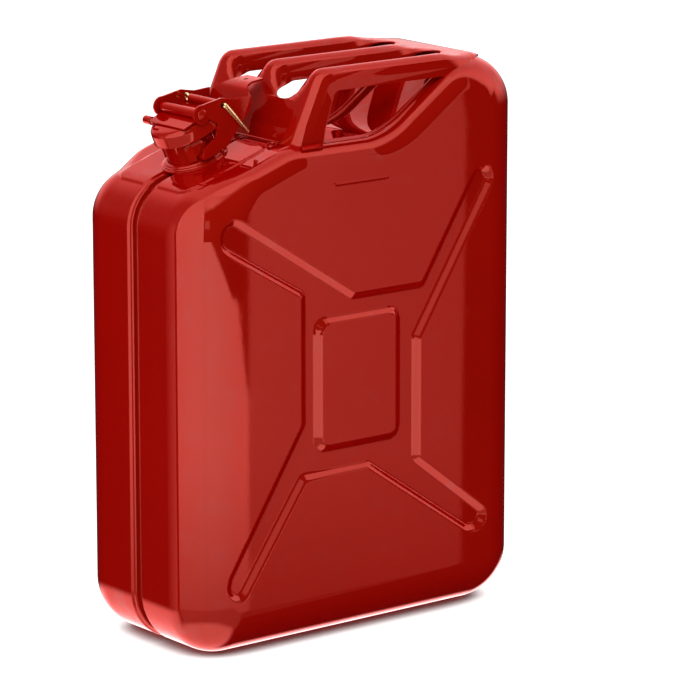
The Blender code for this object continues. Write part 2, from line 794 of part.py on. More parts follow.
def neck_bracket(name, side, frame):
    """Side bracket of the neck: a foot and the rearward arm that the lever hooks under."""
    foot = COLLAR_HEIGHT + 4 * SEAT
    left = HOOK_P - 0.0065
    end = HOOK_P + HOOK_LENGTH
    top = NECK_TOP - CAP_SKIRT - 0.0016
    corners = [(left, foot), (HOOK_P, foot), (HOOK_P, HOOK_Q), (end - 0.0012, hook_line(end - 0.0012))]
    corners += [(end, hook_line(end) + 0.0008), (end, top - 0.0045), (end - 0.004, top), (left + 0.002, top)]
    corners += [(left, top - 0.002)]
    shape = bmesh.new()
    inner, outer = NECK_RADIUS + SEAT, NECK_RADIUS + SEAT + BRACKET_SHEET
    fine = [Vector(corner) for corner in corners]
    dense = []
    for index, corner in enumerate(fine):
        after = fine[(index + 1) % len(fine)]
        cuts = max(int((after - corner).length / 0.0035), 1)
        dense += [corner.lerp(after, step / cuts) for step in range(cuts)]
    rings = []
    for radius in (inner, outer):
        ring = []
        for p, q in dense:
            turn = p / NECK_RADIUS
            ring.append((radius * math.sin(turn), side * radius * math.cos(turn), q))
        rings.append(ring)
    low, high = loft(shape, rings)
    for ring in (low, high):
        edges = [shape.edges.get((ring[i - 1], ring[i])) for i in range(len(ring))]
        bmesh.ops.triangle_fill(shape, use_beauty=True, edges=edges)
    return add_object(name, shape, paint(name), frame)


def sweep_path(path, profile):
    """Carry a closed profile of (across, up) pairs along a path, without twist."""
    rings = []
    count = len(path)
    up = None
    for index, point in enumerate(path):
        along = (path[min(index + 1, count - 1)] - path[max(index - 1, 0)]).normalized()
        if up is None:
            up = along.orthogonal().normalized()
        up = (up - along * up.dot(along)).normalized()
        across = along.cross(up)
        rings.append([point + across * a + up * b for a, b in profile])
    return rings


def breather(frame):
    """Air pipe inside the neck that lets air into the pocket under the handle while pouring."""
    reach = NECK_RADIUS - NECK_WALL - SEAT - BREATHER_RADIUS
    start = frame @ Vector((reach, 0.0, NECK_TOP - 0.004))
    turn = frame @ Vector((reach, 0.0, -NECK_ROOT))
    corner = frame @ Vector((reach, 0.0, -NECK_ROOT - 0.014))
    end = Vector((foot_x() + FOOT_DEPTH, 0.0, CREST_HEIGHT - CHANNEL_DEPTH - 0.012))
    path = [start.lerp(turn, share / 3) for share in range(4)]
    for step in range(1, 7):
        share = step / 6
        path.append(turn.lerp(corner, share).lerp(corner.lerp(end, share * 0.6), share))
    path.append(end)
    circle = [math.tau * step / 8 for step in range(8)]
    shape = bmesh.new()
    rows = []
    for radius in (BREATHER_RADIUS, BREATHER_RADIUS - BREATHER_WALL):
        profile = [(radius * math.cos(turn), radius * math.sin(turn)) for turn in circle]
        rows.append(loft(shape, sweep_path(path, profile)))
    for end_row in (0, -1):
        outer, inner = rows[0][end_row], rows[1][end_row]
        for index in range(len(outer)):
            after = (index + 1) % len(outer)
            shape.faces.new((outer[index], outer[after], inner[after], inner[index]))
    material = finish("breather_steel", (0.42, 0.42, 0.43), 0.4, 1.0)
    return add_object("breather_tube", shape, material)


def neck(frame):
    """The neck and what is fixed to it."""
    neck_tube(frame)
    neck_collar(frame)
    neck_bracket("neck_bracket_near", -1, frame)
    neck_bracket("neck_bracket_far", 1, frame)
    breather(frame)
    hinge_lug("hinge_lug_near", -1, frame)
    hinge_lug("hinge_lug_far", 1, frame)
    hinge_pin(frame)


def hinge_lug(name, side, frame):
    """Ear behind the neck that carries the cap's hinge pin."""
    near = STRAP_HALF + RUN
    start = NECK_RADIUS - 0.0028
    outer = HINGE_RADIUS + 0.0032
    outline = [Vector((start, HINGE_Q - 0.009)), Vector((HINGE_P - 0.002, HINGE_Q - outer))]
    outline += arc_points((HINGE_P, HINGE_Q), outer, -70, 90, 8)
    outline += [Vector((start, HINGE_Q + 0.0045))]
    lug = add_object(name, slab(outline, side * near, side * (near + LUG_SHEET)), paint(name), frame)
    hole = rod(HINGE_RADIUS + RUN, side * (near - 0.001), side * (near + LUG_SHEET + 0.001))
    bmesh.ops.translate(hole, verts=hole.verts, vec=(HINGE_P, 0.0, HINGE_Q))
    combine(lug, add_helper(name + "_hole", hole, frame), "DIFFERENCE")
    return lug


def headed_pin(name, radius, head_radius, reach, head, material, frame, place):
    """A riveted pin along Y with a low dome at each end."""
    profile = [(0.0, -reach - head), (0.72 * head_radius, -reach - head * 0.8), (head_radius, -reach - head * 0.3)]
    profile += [(head_radius, -reach), (radius, -reach)]
    profile += [(r, -y) for r, y in reversed(profile)]
    shape = bmesh.new()
    steps = 16
    rings = []
    for r, y in profile[1:-1]:
        turns = [math.tau * step / steps for step in range(steps)]
        rings.append([(r * math.cos(turn), y, r * math.sin(turn)) for turn in turns])
    rows = loft(shape, rings)
    for row, tip in ((rows[0], profile[0]), (rows[-1], profile[-1])):
        point = shape.verts.new((0.0, tip[1], 0.0))
        for index in range(steps):
            shape.faces.new((row[index], row[(index + 1) % steps], point))
    bmesh.ops.translate(shape, verts=shape.verts, vec=place)
    return add_object(name, shape, material, frame, place)


def hinge_pin(frame):
    """The pin that the cap swings on."""
    reach = STRAP_HALF + RUN + LUG_SHEET + SEAT
    place = (HINGE_P, 0.0, HINGE_Q)
    material = paint("hinge_pin")
    return headed_pin("hinge_pin", HINGE_RADIUS, HINGE_RADIUS + 0.0013, reach, 0.0012, material, frame, place)


def cap_half():
    """Half the cap's outside width."""
    return NECK_RADIUS + NECK_LIP + CAP_GAP + CAP_SHEET


def cap_top():
    """Height of the cap's top face."""
    return NECK_TOP + SEAT + GASKET + SEAT + CAP_SHEET


def cap_outline(inset):
    """The cap in plan: round at the front, square at the rear."""
    half = cap_half() - inset
    corner = 0.006
    rear = CAP_REAR - inset
    points = arc_points((0.0, 0.0), half, 90, 270, 14)
    points += arc_points((rear - corner, -half + corner), corner, -90, 0, 3)
    points += arc_points((rear - corner, half - corner), corner, 0, 90, 3)
    return points


def cap_cup(frame, hinge):
    """The pressed cap."""
    low = NECK_TOP - CAP_SKIRT
    top = cap_top()
    levels = [(-0.0004, low), (0.0, low + 0.0015), (0.0, top - CAP_EDGE)]
    for step in range(1, 5):
        turn = math.pi / 2 * step / 4
        levels.append((CAP_EDGE * (1 - math.cos(turn)), top - CAP_EDGE + CAP_EDGE * math.sin(turn)))
    shape = bmesh.new()
    rows = loft(shape, [[(p, y, q) for p, y in cap_outline(inset)] for inset, q in levels])
    shape.faces.new(rows[-1])
    bmesh.ops.recalc_face_normals(shape, faces=shape.faces)
    shape.normal_update()
    if max(shape.faces, key=lambda face: face.calc_center_median().z).normal.z < 0:
        bmesh.ops.reverse_faces(shape, faces=shape.faces)
    thicken(shape, CAP_SHEET)
    return add_object("cap_cup", shape, paint("cap_cup"), frame, hinge)


def cap_gasket(frame, hinge):
    """Rubber seal under the cap's top."""
    low = NECK_TOP + SEAT
    outer = NECK_RADIUS + NECK_LIP
    inner = NECK_RADIUS - NECK_WALL - 0.003
    high = low + GASKET
    profile = [(outer, low), (outer, high - GASKET_CHAMFER), (outer - GASKET_CHAMFER * 2, high)]
    profile += [(inner, high), (inner, low)]
    material = finish("gasket_rubber", (0.015, 0.015, 0.015), 0.75, 0.0)
    return add_object("cap_gasket", lathe(profile), material, frame, hinge)


def pivot_q():
    """Height of the lever's pivot above the shoulder."""
    return cap_top() + SEAT + YOKE_SHEET / 2 + yoke_roll()


def yoke_roll():
    """Radius of the yoke's rolled eye, to the middle of its sheet."""
    return PIVOT_RADIUS + RUN + YOKE_SHEET / 2


def cap_yoke(frame, hinge):
    """Plate on the cap, rolled into the eye that carries the lever's pivot."""
    level = cap_top() + SEAT + YOKE_SHEET / 2
    path = [Vector((PIVOT_P - YOKE_FRONT, level)), Vector((PIVOT_P - YOKE_BEND, level))]
    path += arc_points((PIVOT_P, pivot_q()), yoke_roll(), -90, 215, 18)
    half = cap_half() - CAP_SHEET
    shape = slab(band(path, YOKE_SHEET), -half, half)
    return add_object("cap_yoke", shape, paint("cap_yoke"), frame, hinge)


def cap_curl(frame, hinge):
    """Curled lug at the far end of the yoke's front edge."""
    level = cap_top() + SEAT + YOKE_SHEET / 2
    front = PIVOT_P - YOKE_FRONT - SEAT
    centre = (front - CURL_RADIUS / 3, level + CURL_RADIUS)
    path = [Vector((front, level))] + arc_points(centre, CURL_RADIUS, -90, -320, 12)
    far = cap_half() - CAP_SHEET
    shape = slab(band(path, YOKE_SHEET), far - CURL_WIDTH, far)
    return add_object("cap_curl", shape, paint("cap_curl"), frame, hinge)


def cap_strap(frame, hinge):
    """Strap from the cap's rear to the hinge pin, rolled round the pin."""
    roll = HINGE_RADIUS + RUN + YOKE_SHEET / 2
    wall = CAP_REAR + SEAT + YOKE_SHEET / 2
    path = arc_points((HINGE_P, HINGE_Q), roll, 470, 180, 18)
    path += [Vector((HINGE_P - roll, HINGE_Q + 0.003)), Vector((wall, HINGE_Q + 0.0075))]
    path += [Vector((wall, cap_top() - CAP_EDGE))]
    shape = slab(band(path, YOKE_SHEET), -STRAP_HALF, STRAP_HALF)
    return add_object("cap_strap", shape, paint("cap_strap"), frame, hinge)


def cap(frame):
    """The swinging cap with its seal, yoke and strap."""
    hinge = (HINGE_P, 0.0, HINGE_Q)
    cap_cup(frame, hinge)
    cap_gasket(frame, hinge)
    cap_yoke(frame, hinge)
    cap_curl(frame, hinge)
    cap_strap(frame, hinge)


def cheek_inner():
    """Inside face of a lever cheek."""
    return cap_half() + LEVER_GAP


def cheek_outline():
    """Side of the lever: pivot end, top edge, rear corner, hook leg and throat."""
    pivot = (PIVOT_P, pivot_q())
    tip = hook_line(HOOK_P + 0.0008) - HOOK_RUN
    points = arc_points(pivot, LEVER_ROUND, 62, 305, 16)
    points += [Vector((0.0162, 0.0285)), Vector((0.0095, 0.0202)), Vector((-0.0045, 0.0168))]
    points += [Vector((HOOK_P + 0.0008, tip)), Vector((HOOK_P + 0.0008, tip - 0.0024)), Vector((0.0015, 0.0074))]
    points += [Vector((0.0175, 0.0078)), Vector((0.0320, 0.0150)), Vector((0.0478, 0.0225))]
    points += [Vector((0.0533, 0.0335)), Vector((0.0385, 0.0388)), Vector((TUBE_P + 0.0005, TUBE_Q + 0.0062))]
    return points


def lever_web():
    """The web behind the cheeks that bends back into the thumb tab."""
    path = [(0.0462, 0.0230, 1.0), (0.0508, 0.0272, 1.0), (0.0542, 0.0318, 0.93), (0.0580, 0.0349, 0.72)]
    path += [(0.0632, 0.0360, 0.5), (0.0690, 0.0352, 0.43), (0.0750, 0.0334, 0.41), (0.0812, 0.0314, 0.40)]
    half = cheek_inner() + LEVER_SHEET / 2
    shape = bmesh.new()
    rings = []
    for p, q, share in path:
        rings.append([(p, half * share * side / 4, q) for side in range(-4, 5)])
    loft(shape, rings, closed_rings=False)
    bmesh.ops.recalc_face_normals(shape, faces=shape.faces)
    shape.normal_update()
    if next(iter(shape.faces)).normal.z < 0:
        bmesh.ops.reverse_faces(shape, faces=shape.faces)
    thicken(shape, LEVER_SHEET)
    return shape


def lever_lip(side):
    """The inward lip that draws up under the bracket's arm."""
    start, end = HOOK_P + 0.0008, HOOK_P + HOOK_LENGTH - 0.0016
    top = [Vector((p, hook_line(p) - HOOK_RUN)) for p in (start, end)]
    outline = [top[0], top[1], top[1] - Vector((0.0, 0.0022)), top[0] - Vector((0.0, 0.0022))]
    inner = NECK_RADIUS + 2 * SEAT
    return slab(outline, side * inner, side * (cheek_inner() + LEVER_SHEET / 2))


def lever(frame):
    """The cam lever: two cheeks, the web with the thumb tab, and the two lips."""
    pivot = (PIVOT_P, 0.0, pivot_q())
    inner, outer = cheek_inner(), cheek_inner() + LEVER_SHEET
    thing = add_object("lever", slab(cheek_outline(), -outer, -inner), paint("lever"), frame, pivot)
    combine(thing, add_helper("lever_far_cheek", slab(cheek_outline(), inner, outer), frame), "UNION")
    combine(thing, add_helper("lever_web", lever_web(), frame), "UNION")
    for side, name in ((-1, "near"), (1, "far")):
        combine(thing, add_helper("lever_lip_" + name, lever_lip(side), frame), "UNION")
    pivot_hole = rod(PIVOT_RADIUS + RUN, -outer - 0.001, outer + 0.001)
    bmesh.ops.translate(pivot_hole, verts=pivot_hole.verts, vec=pivot)
    combine(thing, add_helper("lever_pivot_hole", pivot_hole, frame), "DIFFERENCE")
    pin_hole = rod(TUBE_BORE, -outer - 0.001, -inner + 0.001)
    bmesh.ops.translate(pin_hole, verts=pin_hole.verts, vec=(TUBE_P, 0.0, TUBE_Q))
    combine(thing, add_helper("lever_pin_hole", pin_hole, frame), "DIFFERENCE")
    tab_hole = bmesh.new()
    turns = [math.tau * step / 16 for step in range(16)]
    rings = [[(0.0722 + 0.0021 * math.cos(t), 0.0021 * math.sin(t), q) for t in turns] for q in (0.028, 0.040)]
    low, high = loft(tab_hole, rings)
    tab_hole.faces.new(low)
    tab_hole.faces.new(high)
    combine(thing, add_helper("lever_tab_hole", tab_hole, frame), "DIFFERENCE")
    return thing


def pin_tube(frame):
    """Tube between the cheeks that the locking pin goes through."""
    bore, outer = TUBE_BORE, TUBE_BORE + TUBE_WALL
    near, far = -cheek_inner() + SEAT, cheek_inner() - 0.0102
    turns = [math.tau * step / 20 for step in range(20)]
    shape = bmesh.new()
    rings = []
    for radius, y in ((outer, near), (outer, far), (bore, far), (bore, near)):
        rings.append([(TUBE_P + radius * math.cos(t), y, TUBE_Q + radius * math.sin(t)) for t in turns])
    loft(shape, rings, closed_path=True)
    origin = (PIVOT_P, 0.0, pivot_q())
    return add_object("pin_tube", shape, paint("pin_tube"), frame, origin)


def split_pin(frame):
    """Brass split pin: an eye at the far side, two runs through the tube and two legs bent down."""
    apart = WIRE_RADIUS + 0.00025
    outside = -(cheek_inner() + LEVER_SHEET + SEAT + WIRE_RADIUS)
    eye_start = cheek_inner() - 0.0098
    eye = 0.0034
    bend = 0.0016
    tip = Vector((TUBE_P + PIN_LEAN, 0.0, TUBE_Q - PIN_DROP))
    path = leg_path(tip, outside, TUBE_Q - apart, bend)
    centre = eye_start + eye
    for step in range(13):
        turn = math.radians(200 + 320 * step / 12)
        path.append(Vector((TUBE_P, centre + eye * math.cos(turn), TUBE_Q + eye * math.sin(turn))))
    path += leg_path(tip, outside - 2 * apart, TUBE_Q + apart, bend)[::-1]
    circle = [math.tau * step / 8 for step in range(8)]
    profile = [(WIRE_RADIUS * math.cos(turn), WIRE_RADIUS * math.sin(turn)) for turn in circle]
    shape = bmesh.new()
    rows = loft(shape, sweep_path(path, profile))
    shape.faces.new(rows[0])
    shape.faces.new(rows[-1])
    material = finish("split_pin_brass", (0.62, 0.47, 0.25), 0.28, 1.0)
    return add_object("split_pin", shape, material, frame, (TUBE_P, 0.0, TUBE_Q))


def leg_path(tip, y, q, bend):
    """One leg of the split pin, from its tip up to the tube and round into it."""
    top = Vector((TUBE_P, y, q))
    start = Vector((tip.x, y, tip.z))
    down = (start - top).normalized()
    inward = Vector((0.0, 1.0, 0.0))
    path = [start, start.lerp(top, 0.5)]
    for step in range(5):
        share = step / 4
        first = (top + down * bend).lerp(top, share)
        path.append(first.lerp(top.lerp(top + inward * bend, share), share))
    return path


def lever_pivot(frame):
    """Riveted pin through the cheeks and the yoke's eye."""
    place = (PIVOT_P, 0.0, pivot_q())
    reach = cheek_inner() + LEVER_SHEET + SEAT
    material = paint("lever_pivot")
    return headed_pin("lever_pivot", PIVOT_RADIUS, PIVOT_HEAD, reach, 0.0019, material, frame, place)


def closure(frame):
    """Everything that swings on the neck."""
    cap(frame)
    lever(frame)
    lever_pivot(frame)
    pin_tube(frame)
    split_pin(frame)


def main():
    clear_scene()
    body()
    handle()
    frame = neck_frame()
    neck(frame)
    closure(frame)


main()
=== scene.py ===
"""Gloss red fuel can: pressed shells, softened small parts, paint, brass and rubber, and a white studio."""

import json
import math

import bmesh
import bpy
import numpy as np
from bpy.props import FloatProperty, FloatVectorProperty, PointerProperty
from mathutils import Matrix, Vector


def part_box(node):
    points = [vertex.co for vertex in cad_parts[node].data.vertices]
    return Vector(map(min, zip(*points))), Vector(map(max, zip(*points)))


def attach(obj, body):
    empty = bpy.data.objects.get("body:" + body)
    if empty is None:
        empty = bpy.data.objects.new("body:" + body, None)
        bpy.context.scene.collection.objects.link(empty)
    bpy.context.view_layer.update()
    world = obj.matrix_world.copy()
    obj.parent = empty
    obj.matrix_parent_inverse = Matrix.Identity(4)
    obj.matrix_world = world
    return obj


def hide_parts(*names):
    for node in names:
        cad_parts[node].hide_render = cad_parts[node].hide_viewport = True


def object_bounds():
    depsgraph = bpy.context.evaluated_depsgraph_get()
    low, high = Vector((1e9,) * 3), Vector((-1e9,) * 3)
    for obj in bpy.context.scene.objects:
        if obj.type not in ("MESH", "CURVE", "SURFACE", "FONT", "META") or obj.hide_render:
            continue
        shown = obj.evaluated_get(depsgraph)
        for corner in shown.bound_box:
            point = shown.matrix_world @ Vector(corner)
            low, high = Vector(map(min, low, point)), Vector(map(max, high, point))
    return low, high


bl_info = {
    "name": "Gloss Red Fuel Can",
    "version": (1, 0, 0),
    "blender": (4, 5, 0),
    "location": "3D View > Sidebar > Fuel Can",
    "description": "Dresses a pressed steel fuel can and lights it in a white studio",
    "category": "Object",
}

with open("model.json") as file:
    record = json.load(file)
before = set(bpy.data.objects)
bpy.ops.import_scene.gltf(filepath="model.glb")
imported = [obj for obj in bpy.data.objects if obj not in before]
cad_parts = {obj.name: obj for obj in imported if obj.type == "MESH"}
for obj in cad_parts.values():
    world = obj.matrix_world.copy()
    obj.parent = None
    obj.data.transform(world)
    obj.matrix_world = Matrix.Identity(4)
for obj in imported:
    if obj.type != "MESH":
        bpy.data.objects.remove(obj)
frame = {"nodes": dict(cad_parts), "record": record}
CAD_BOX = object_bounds()
LOW = Vector(CAD_BOX[0])
HIGH = Vector(CAD_BOX[1])
SHELL_LOW, SHELL_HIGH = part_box("shell_near")

# Shell, as pressed
WALL_FILLET = 0.038
TOP_FILLET = 0.0165
FOOT_FILLET = 0.040
BOTTOM_RADIUS = 0.046
SHOULDER_RADIUS = 0.041
SHOULDER_RUN = 0.1055
SHOULDER_ANGLE = math.radians(18.5)
CREST_HEIGHT = 0.4145
CREST_RADIUS = 0.060
CREST_RUN = 0.076
SCOOP_STEEPER = math.radians(11.4)
REAR_RADIUS = 0.041
SHEET = 0.001
NECK_SETBACK = 0.0625
NECK_HOLE = 0.0213

# Where the top fillet takes over from the wall fillet: by how far the wall faces up, and along the can
NARROW_FACING = (0.1, 0.6)
NARROW_START = (-0.150, -0.108)
NARROW_END = (0.095, 0.150)
FOOT_FACING = (0.1, 0.9)

# Recessed seam and its lip, seen across the seam
SEAM_ROOT = 0.0012
CHANNEL_HALF = 0.0036
CHANNEL_DEPTH = 0.0072
CHANNEL_EDGE = 0.0006
CHANNEL_TOP = 0.0016
LIP_HALF = 0.0085
LIP_DROP = 0.0018
LIP_BEND = 0.0014
LIP_SLOPE = 0.0026
LIP_STEPS = 5

# Rings of points from the seam to the face, close together where the rim bead runs
FLAT_START = 0.032
FLAT_RINGS = 11
WALL_SHARES = (0.2, 0.38, 0.44, 0.47, 0.5, 0.53, 0.56, 0.62, 0.7, 0.76, 0.8, 0.84, 0.88, 0.92, 0.96)
WALL_SHARES += (0.985, 1.0)
FILLET_STEPS = 20
FACE_SHARE = 0.7
FACE_MARGIN = 0.0006

# Raised pad round the neck and bead along the top rims
RAISED_FACING = (0.25, 0.5)
NECK_PAD_X = -0.1130
NECK_PAD_RUN = 0.030
NECK_PAD_HALF = 0.038
NECK_PAD_EDGE = (0.0105, 0.0125)
RIM_BEAD_INSET = 0.0035
RIM_BEAD_HALF = 0.0034
RIM_BEAD_START = (-0.075, -0.060)
RIM_BEAD_END = (0.118, 0.132)

# Figure on the faces
CROSS_ROUND = 0.009
PAD_ROUND = 0.0135
FILL_LINE_X = -0.0035
FILL_LINE_Z = 0.3823
FILL_LINE_HALF = 0.0265
FILL_LINE_EDGE = 0.0011
FILL_LINE_BAND = (0.3795, 0.3853)
FILL_LINE_STEP = 0.00055
FILL_LINE_GAP = 0.0005

# Softening of the small parts
SHARP_ANGLE = math.radians(34.0)
FLAT_ANGLE = math.radians(0.6)
SAME_POINT = 0.000004
BEVEL_SEGMENTS = 2
SOFT_EDGE = 0.0003
SOFT_EDGES = {"handle_frame": 0.0005, "lever": 0.0004}
UNPAINTED = ("cap_gasket", "split_pin", "breather_tube")

# Camera
EYE = Vector((-2.09921998, -2.71364243, 1.02586691))
AZIMUTH = math.radians(38.352646)
ELEVATION = math.radians(13.100149)
LENS = 218.338
SENSOR = 36.0

# Lamps and floor
KEY_PLACE = (-1.6, -1.4, 2.2)
FILL_PLACE = (-2.2, 1.0, 1.1)
LAMP_SIZE = 1.6
FLOOR_REACH = 6.0
FLOOR_GREY = 0.86
FLOOR_GLOW = 0.95
# Reach and ambient occlusion range of the painted contact shadow on the floor
SHADOW_REACH = 0.035
SHADOW_RANGE = (0.15, 0.50)
BACKDROP = 1.1

# Room that the paint reflects. Turns are degrees round the upright axis, 0 towards -X and growing
# towards -Y. The other edges are shares of the direction along one axis.
PANEL_START = (-17.4, -16.6)
PANEL_CORNER = (52.0, 54.0)
PANEL_END = (0.5915, 0.5920)
PANEL_FOOT = (-0.305, -0.245)
PANEL_TOP = (-0.1860, -0.1840)
PANEL_TILT = 0.00024
PANEL_NOTCH = (126.80, 126.97)
PANEL_NOTCH_RISE = 0.022
BEND_START = 13.0
BEND_LEAN = 0.00165
BEND_CURVE = 0.0000575
SCREEN_MIDDLE = 0.5918
SCREEN_FALL = -8.0
SCREEN_END = (0.6325, 0.6330)
WALL_START = (-55.0, -23.0)
WALL_END = (-23.6, -22.6)
WALL_TOP = (0.1, 0.5)
OVERHEAD_SIDE = (-0.50, 0.0)
OVERHEAD_NEAR = (-0.30, 0.20)
OVERHEAD_START = (-0.56, -0.40)
OVERHEAD_FOOT = (-0.15, 0.22)
BEHIND_TOP = (-0.45, -0.30)
BEHIND_START = (0.25, 0.50)
BELOW_TOP = (-0.82, -0.60)
BELOW_END = (0.30, 0.45)
PATCH_TURN = ((55.0, 57.0), (66.0, 70.0))
PATCH_HEIGHT = ((0.25, 0.32), (0.52, 0.60))


class CanPaint(bpy.types.PropertyGroup):
    """Colours and surface of the can's finishes."""

    red: FloatVectorProperty(
        name="Red", description="Colour of the paint", subtype="COLOR",
        default=(0.325, 0.028, 0.012), min=0, max=1
    )
    tint: FloatVectorProperty(
        name="Lacquer tint", description="Colour of the clear coat over the paint", subtype="COLOR",
        default=(1.0, 0.19, 0.14), min=0, max=1
    )
    gloss: FloatProperty(
        name="Roughness", description="Roughness of fresh paint", default=0.012, min=0, max=1
    )
    peel: FloatProperty(
        name="Orange peel", description="Height of the paint's fine ripple",
        default=0.000001, unit="LENGTH", precision=6
    )
    brass: FloatVectorProperty(
        name="Brass", description="Colour of the split pin", subtype="COLOR",
        default=(0.72, 0.55, 0.28), min=0, max=1
    )
    rubber: FloatVectorProperty(
        name="Rubber", description="Colour of the seal", subtype="COLOR",
        default=(0.012, 0.012, 0.012), min=0, max=1
    )
    steel: FloatVectorProperty(
        name="Steel", description="Colour of the breather pipe", subtype="COLOR",
        default=(0.42, 0.42, 0.43), min=0, max=1
    )


class CanPressing(bpy.types.PropertyGroup):
    """Sizes of the figure pressed into the can's faces."""

    depth: FloatProperty(
        name="Depth", description="Depth of the cross", default=0.0042, unit="LENGTH", precision=4
    )
    slope: FloatProperty(
        name="Slope", description="Width of its sloped sides", default=0.0066, unit="LENGTH", precision=4
    )
    step: FloatProperty(
        name="Mesh step", description="Spacing of the face's points",
        default=0.0012, unit="LENGTH", precision=4
    )
    line: FloatProperty(
        name="Fill line", description="Height of the fill line", default=0.0007, unit="LENGTH", precision=4
    )
    pad: FloatProperty(
        name="Neck pad", description="Height of the neck's raised pad",
        default=0.0011, unit="LENGTH", precision=4
    )
    bead: FloatProperty(
        name="Rim bead", description="Height of the rim bead", default=0.0013, unit="LENGTH", precision=4
    )


class CanStudio(bpy.types.PropertyGroup):
    """Levels of the studio's light and of the room that the paint reflects."""

    ambient: FloatProperty(name="Ambient", description="Even light from all round", default=0.62, min=0)
    key: FloatProperty(
        name="Key", description="Power of the soft key lamp", default=31.0, min=0, unit="POWER"
    )
    fill: FloatProperty(
        name="Fill", description="Power of the soft fill lamp", default=9.0, min=0, unit="POWER"
    )
    panel: FloatProperty(name="Panel", description="Brightness of the front panel", default=3.25, min=0)
    screen: FloatProperty(name="Screen", description="Brightness of the side screen", default=1.3, min=0)
    wall: FloatProperty(
        name="Wall", description="Brightness of the wall beside the panel", default=1.35, min=0
    )
    dim: FloatProperty(name="Dim", description="Brightness of the room's unlit rest", default=0.03, min=0)
    top: FloatProperty(name="Top", description="Brightness of the overhead panel", default=1.9, min=0)
    ground: FloatProperty(
        name="Ground", description="Brightness of the floor in reflections", default=3.6, min=0
    )
    white: FloatProperty(
        name="White", description="Share of the floor's own colour that the camera sees", default=0.6, min=0
    )


def settings(group):
    """The named property group of the scene."""
    return getattr(bpy.context.scene, "fuel_can_" + group)


def arc(centre, radius, start, end, hollow=False, step=1.5):
    """(point, outward normal) pairs along an arc of the side view, in degrees."""
    count = max(int(abs(end - start) / step), 2)
    pairs = []
    for index in range(count + 1):
        turn = math.radians(start + (end - start) * index / count)
        outward = Vector((math.cos(turn), math.sin(turn)))
        pairs.append((Vector(centre) + outward * radius, -outward if hollow else outward))
    return pairs


def shell_outline():
    """The can's side view, from the front of the bottom, up the front, over the top and down the rear."""
    front, rear = SHELL_LOW.x, SHELL_HIGH.x
    bend = front + SHOULDER_RUN
    slope = math.degrees(SHOULDER_ANGLE)
    front_x = front + SHOULDER_RADIUS
    drop = SHOULDER_RADIUS + (bend - front_x) * math.sin(SHOULDER_ANGLE)
    front_z = CREST_HEIGHT - drop / math.cos(SHOULDER_ANGLE)
    crest = bend + CREST_RADIUS * math.tan(SHOULDER_ANGLE / 2)
    scoop_x = bend + CREST_RUN
    rear_x = rear - REAR_RADIUS
    run, rise = rear_x - scoop_x, SHELL_HIGH.z - CREST_HEIGHT
    angle = math.atan2(rise, run) + SCOOP_STEEPER
    ramp = rise / math.tan(angle / 2) - run
    bow = (run - ramp * math.cos(angle)) / (2 * math.sin(angle))
    turn = math.degrees(angle)
    pairs = arc((front + BOTTOM_RADIUS, BOTTOM_RADIUS), BOTTOM_RADIUS, 270, 180)
    pairs += arc((front_x, front_z), SHOULDER_RADIUS, 180, 90 + slope)
    pairs += straight(pairs[-1], arc((crest, CREST_HEIGHT - CREST_RADIUS), CREST_RADIUS, 90 + slope, 90)[0])
    pairs += arc((crest, CREST_HEIGHT - CREST_RADIUS), CREST_RADIUS, 90 + slope, 90)
    pairs += arc((scoop_x, CREST_HEIGHT + bow), bow, 270, 270 + turn, True)
    pairs += arc((rear_x, SHELL_HIGH.z - bow), bow, 90 + turn, 90)
    pairs += arc((rear_x, SHELL_HIGH.z - REAR_RADIUS), REAR_RADIUS, 90, 0)[1:]
    pairs += arc((rear - BOTTOM_RADIUS, BOTTOM_RADIUS), BOTTOM_RADIUS, 0, -90)
    return pairs


def straight(start, end, step=0.0012):
    """Pairs between two ends of a flat stretch, for the neck's hole to be cut on."""
    count = int((end[0] - start[0]).length / step)
    return [(start[0].lerp(end[0], i / count), start[1]) for i in range(1, count)]


OUTLINE = shell_outline()
POINTS = np.array([tuple(point) for point, _ in OUTLINE])
NORMALS = np.array([tuple(normal) for _, normal in OUTLINE])
FACE_Y = HIGH.y


def smooth(value, low, high):
    """Smooth rise from 0 at one end to 1 at the other."""
    share = np.clip((value - low) / (high - low), 0, 1)
    return share * share * (3 - 2 * share)


NARROW = smooth(NORMALS[:, 1], *NARROW_FACING) * smooth(POINTS[:, 0], *NARROW_START)
NARROW *= 1 - smooth(POINTS[:, 0], *NARROW_END)
FILLETS = WALL_FILLET + (TOP_FILLET - WALL_FILLET) * NARROW
FILLETS += (FOOT_FILLET - WALL_FILLET) * smooth(-NORMALS[:, 1], *FOOT_FACING)


def section_rows():
    """(distance from the seam, inset, share of the normal that is sideways) of each ring of a half-shell."""
    rows = [(SEAM_ROOT, CHANNEL_DEPTH, 0.0), (CHANNEL_HALF - CHANNEL_EDGE, CHANNEL_DEPTH, 0.0)]
    rows.append((CHANNEL_HALF, CHANNEL_DEPTH - CHANNEL_EDGE, -0.85))
    rows.append((CHANNEL_HALF, LIP_DROP + CHANNEL_TOP, -1.0))
    for step in range(1, LIP_STEPS + 1):
        turn = math.pi / 2 * step / LIP_STEPS
        y = CHANNEL_HALF + LIP_BEND * (1 - math.cos(turn))
        rows.append((y, LIP_DROP + LIP_BEND * (1 - math.sin(turn)), -math.cos(turn)))
    rows.append((LIP_HALF - LIP_SLOPE, LIP_DROP, 0.0))
    for step in range(1, LIP_STEPS + 1):
        share = step / LIP_STEPS
        level = share * share * (3 - 2 * share)
        lean = -0.75 * 4 * share * (1 - share) * 0.8
        rows.append((LIP_HALF - LIP_SLOPE + LIP_SLOPE * share, LIP_DROP * (1 - level), lean))
    for step in range(1, FLAT_RINGS + 1):
        rows.append((LIP_HALF + (FLAT_START - LIP_HALF) * step / FLAT_RINGS, 0.0, 0.0))
    return rows


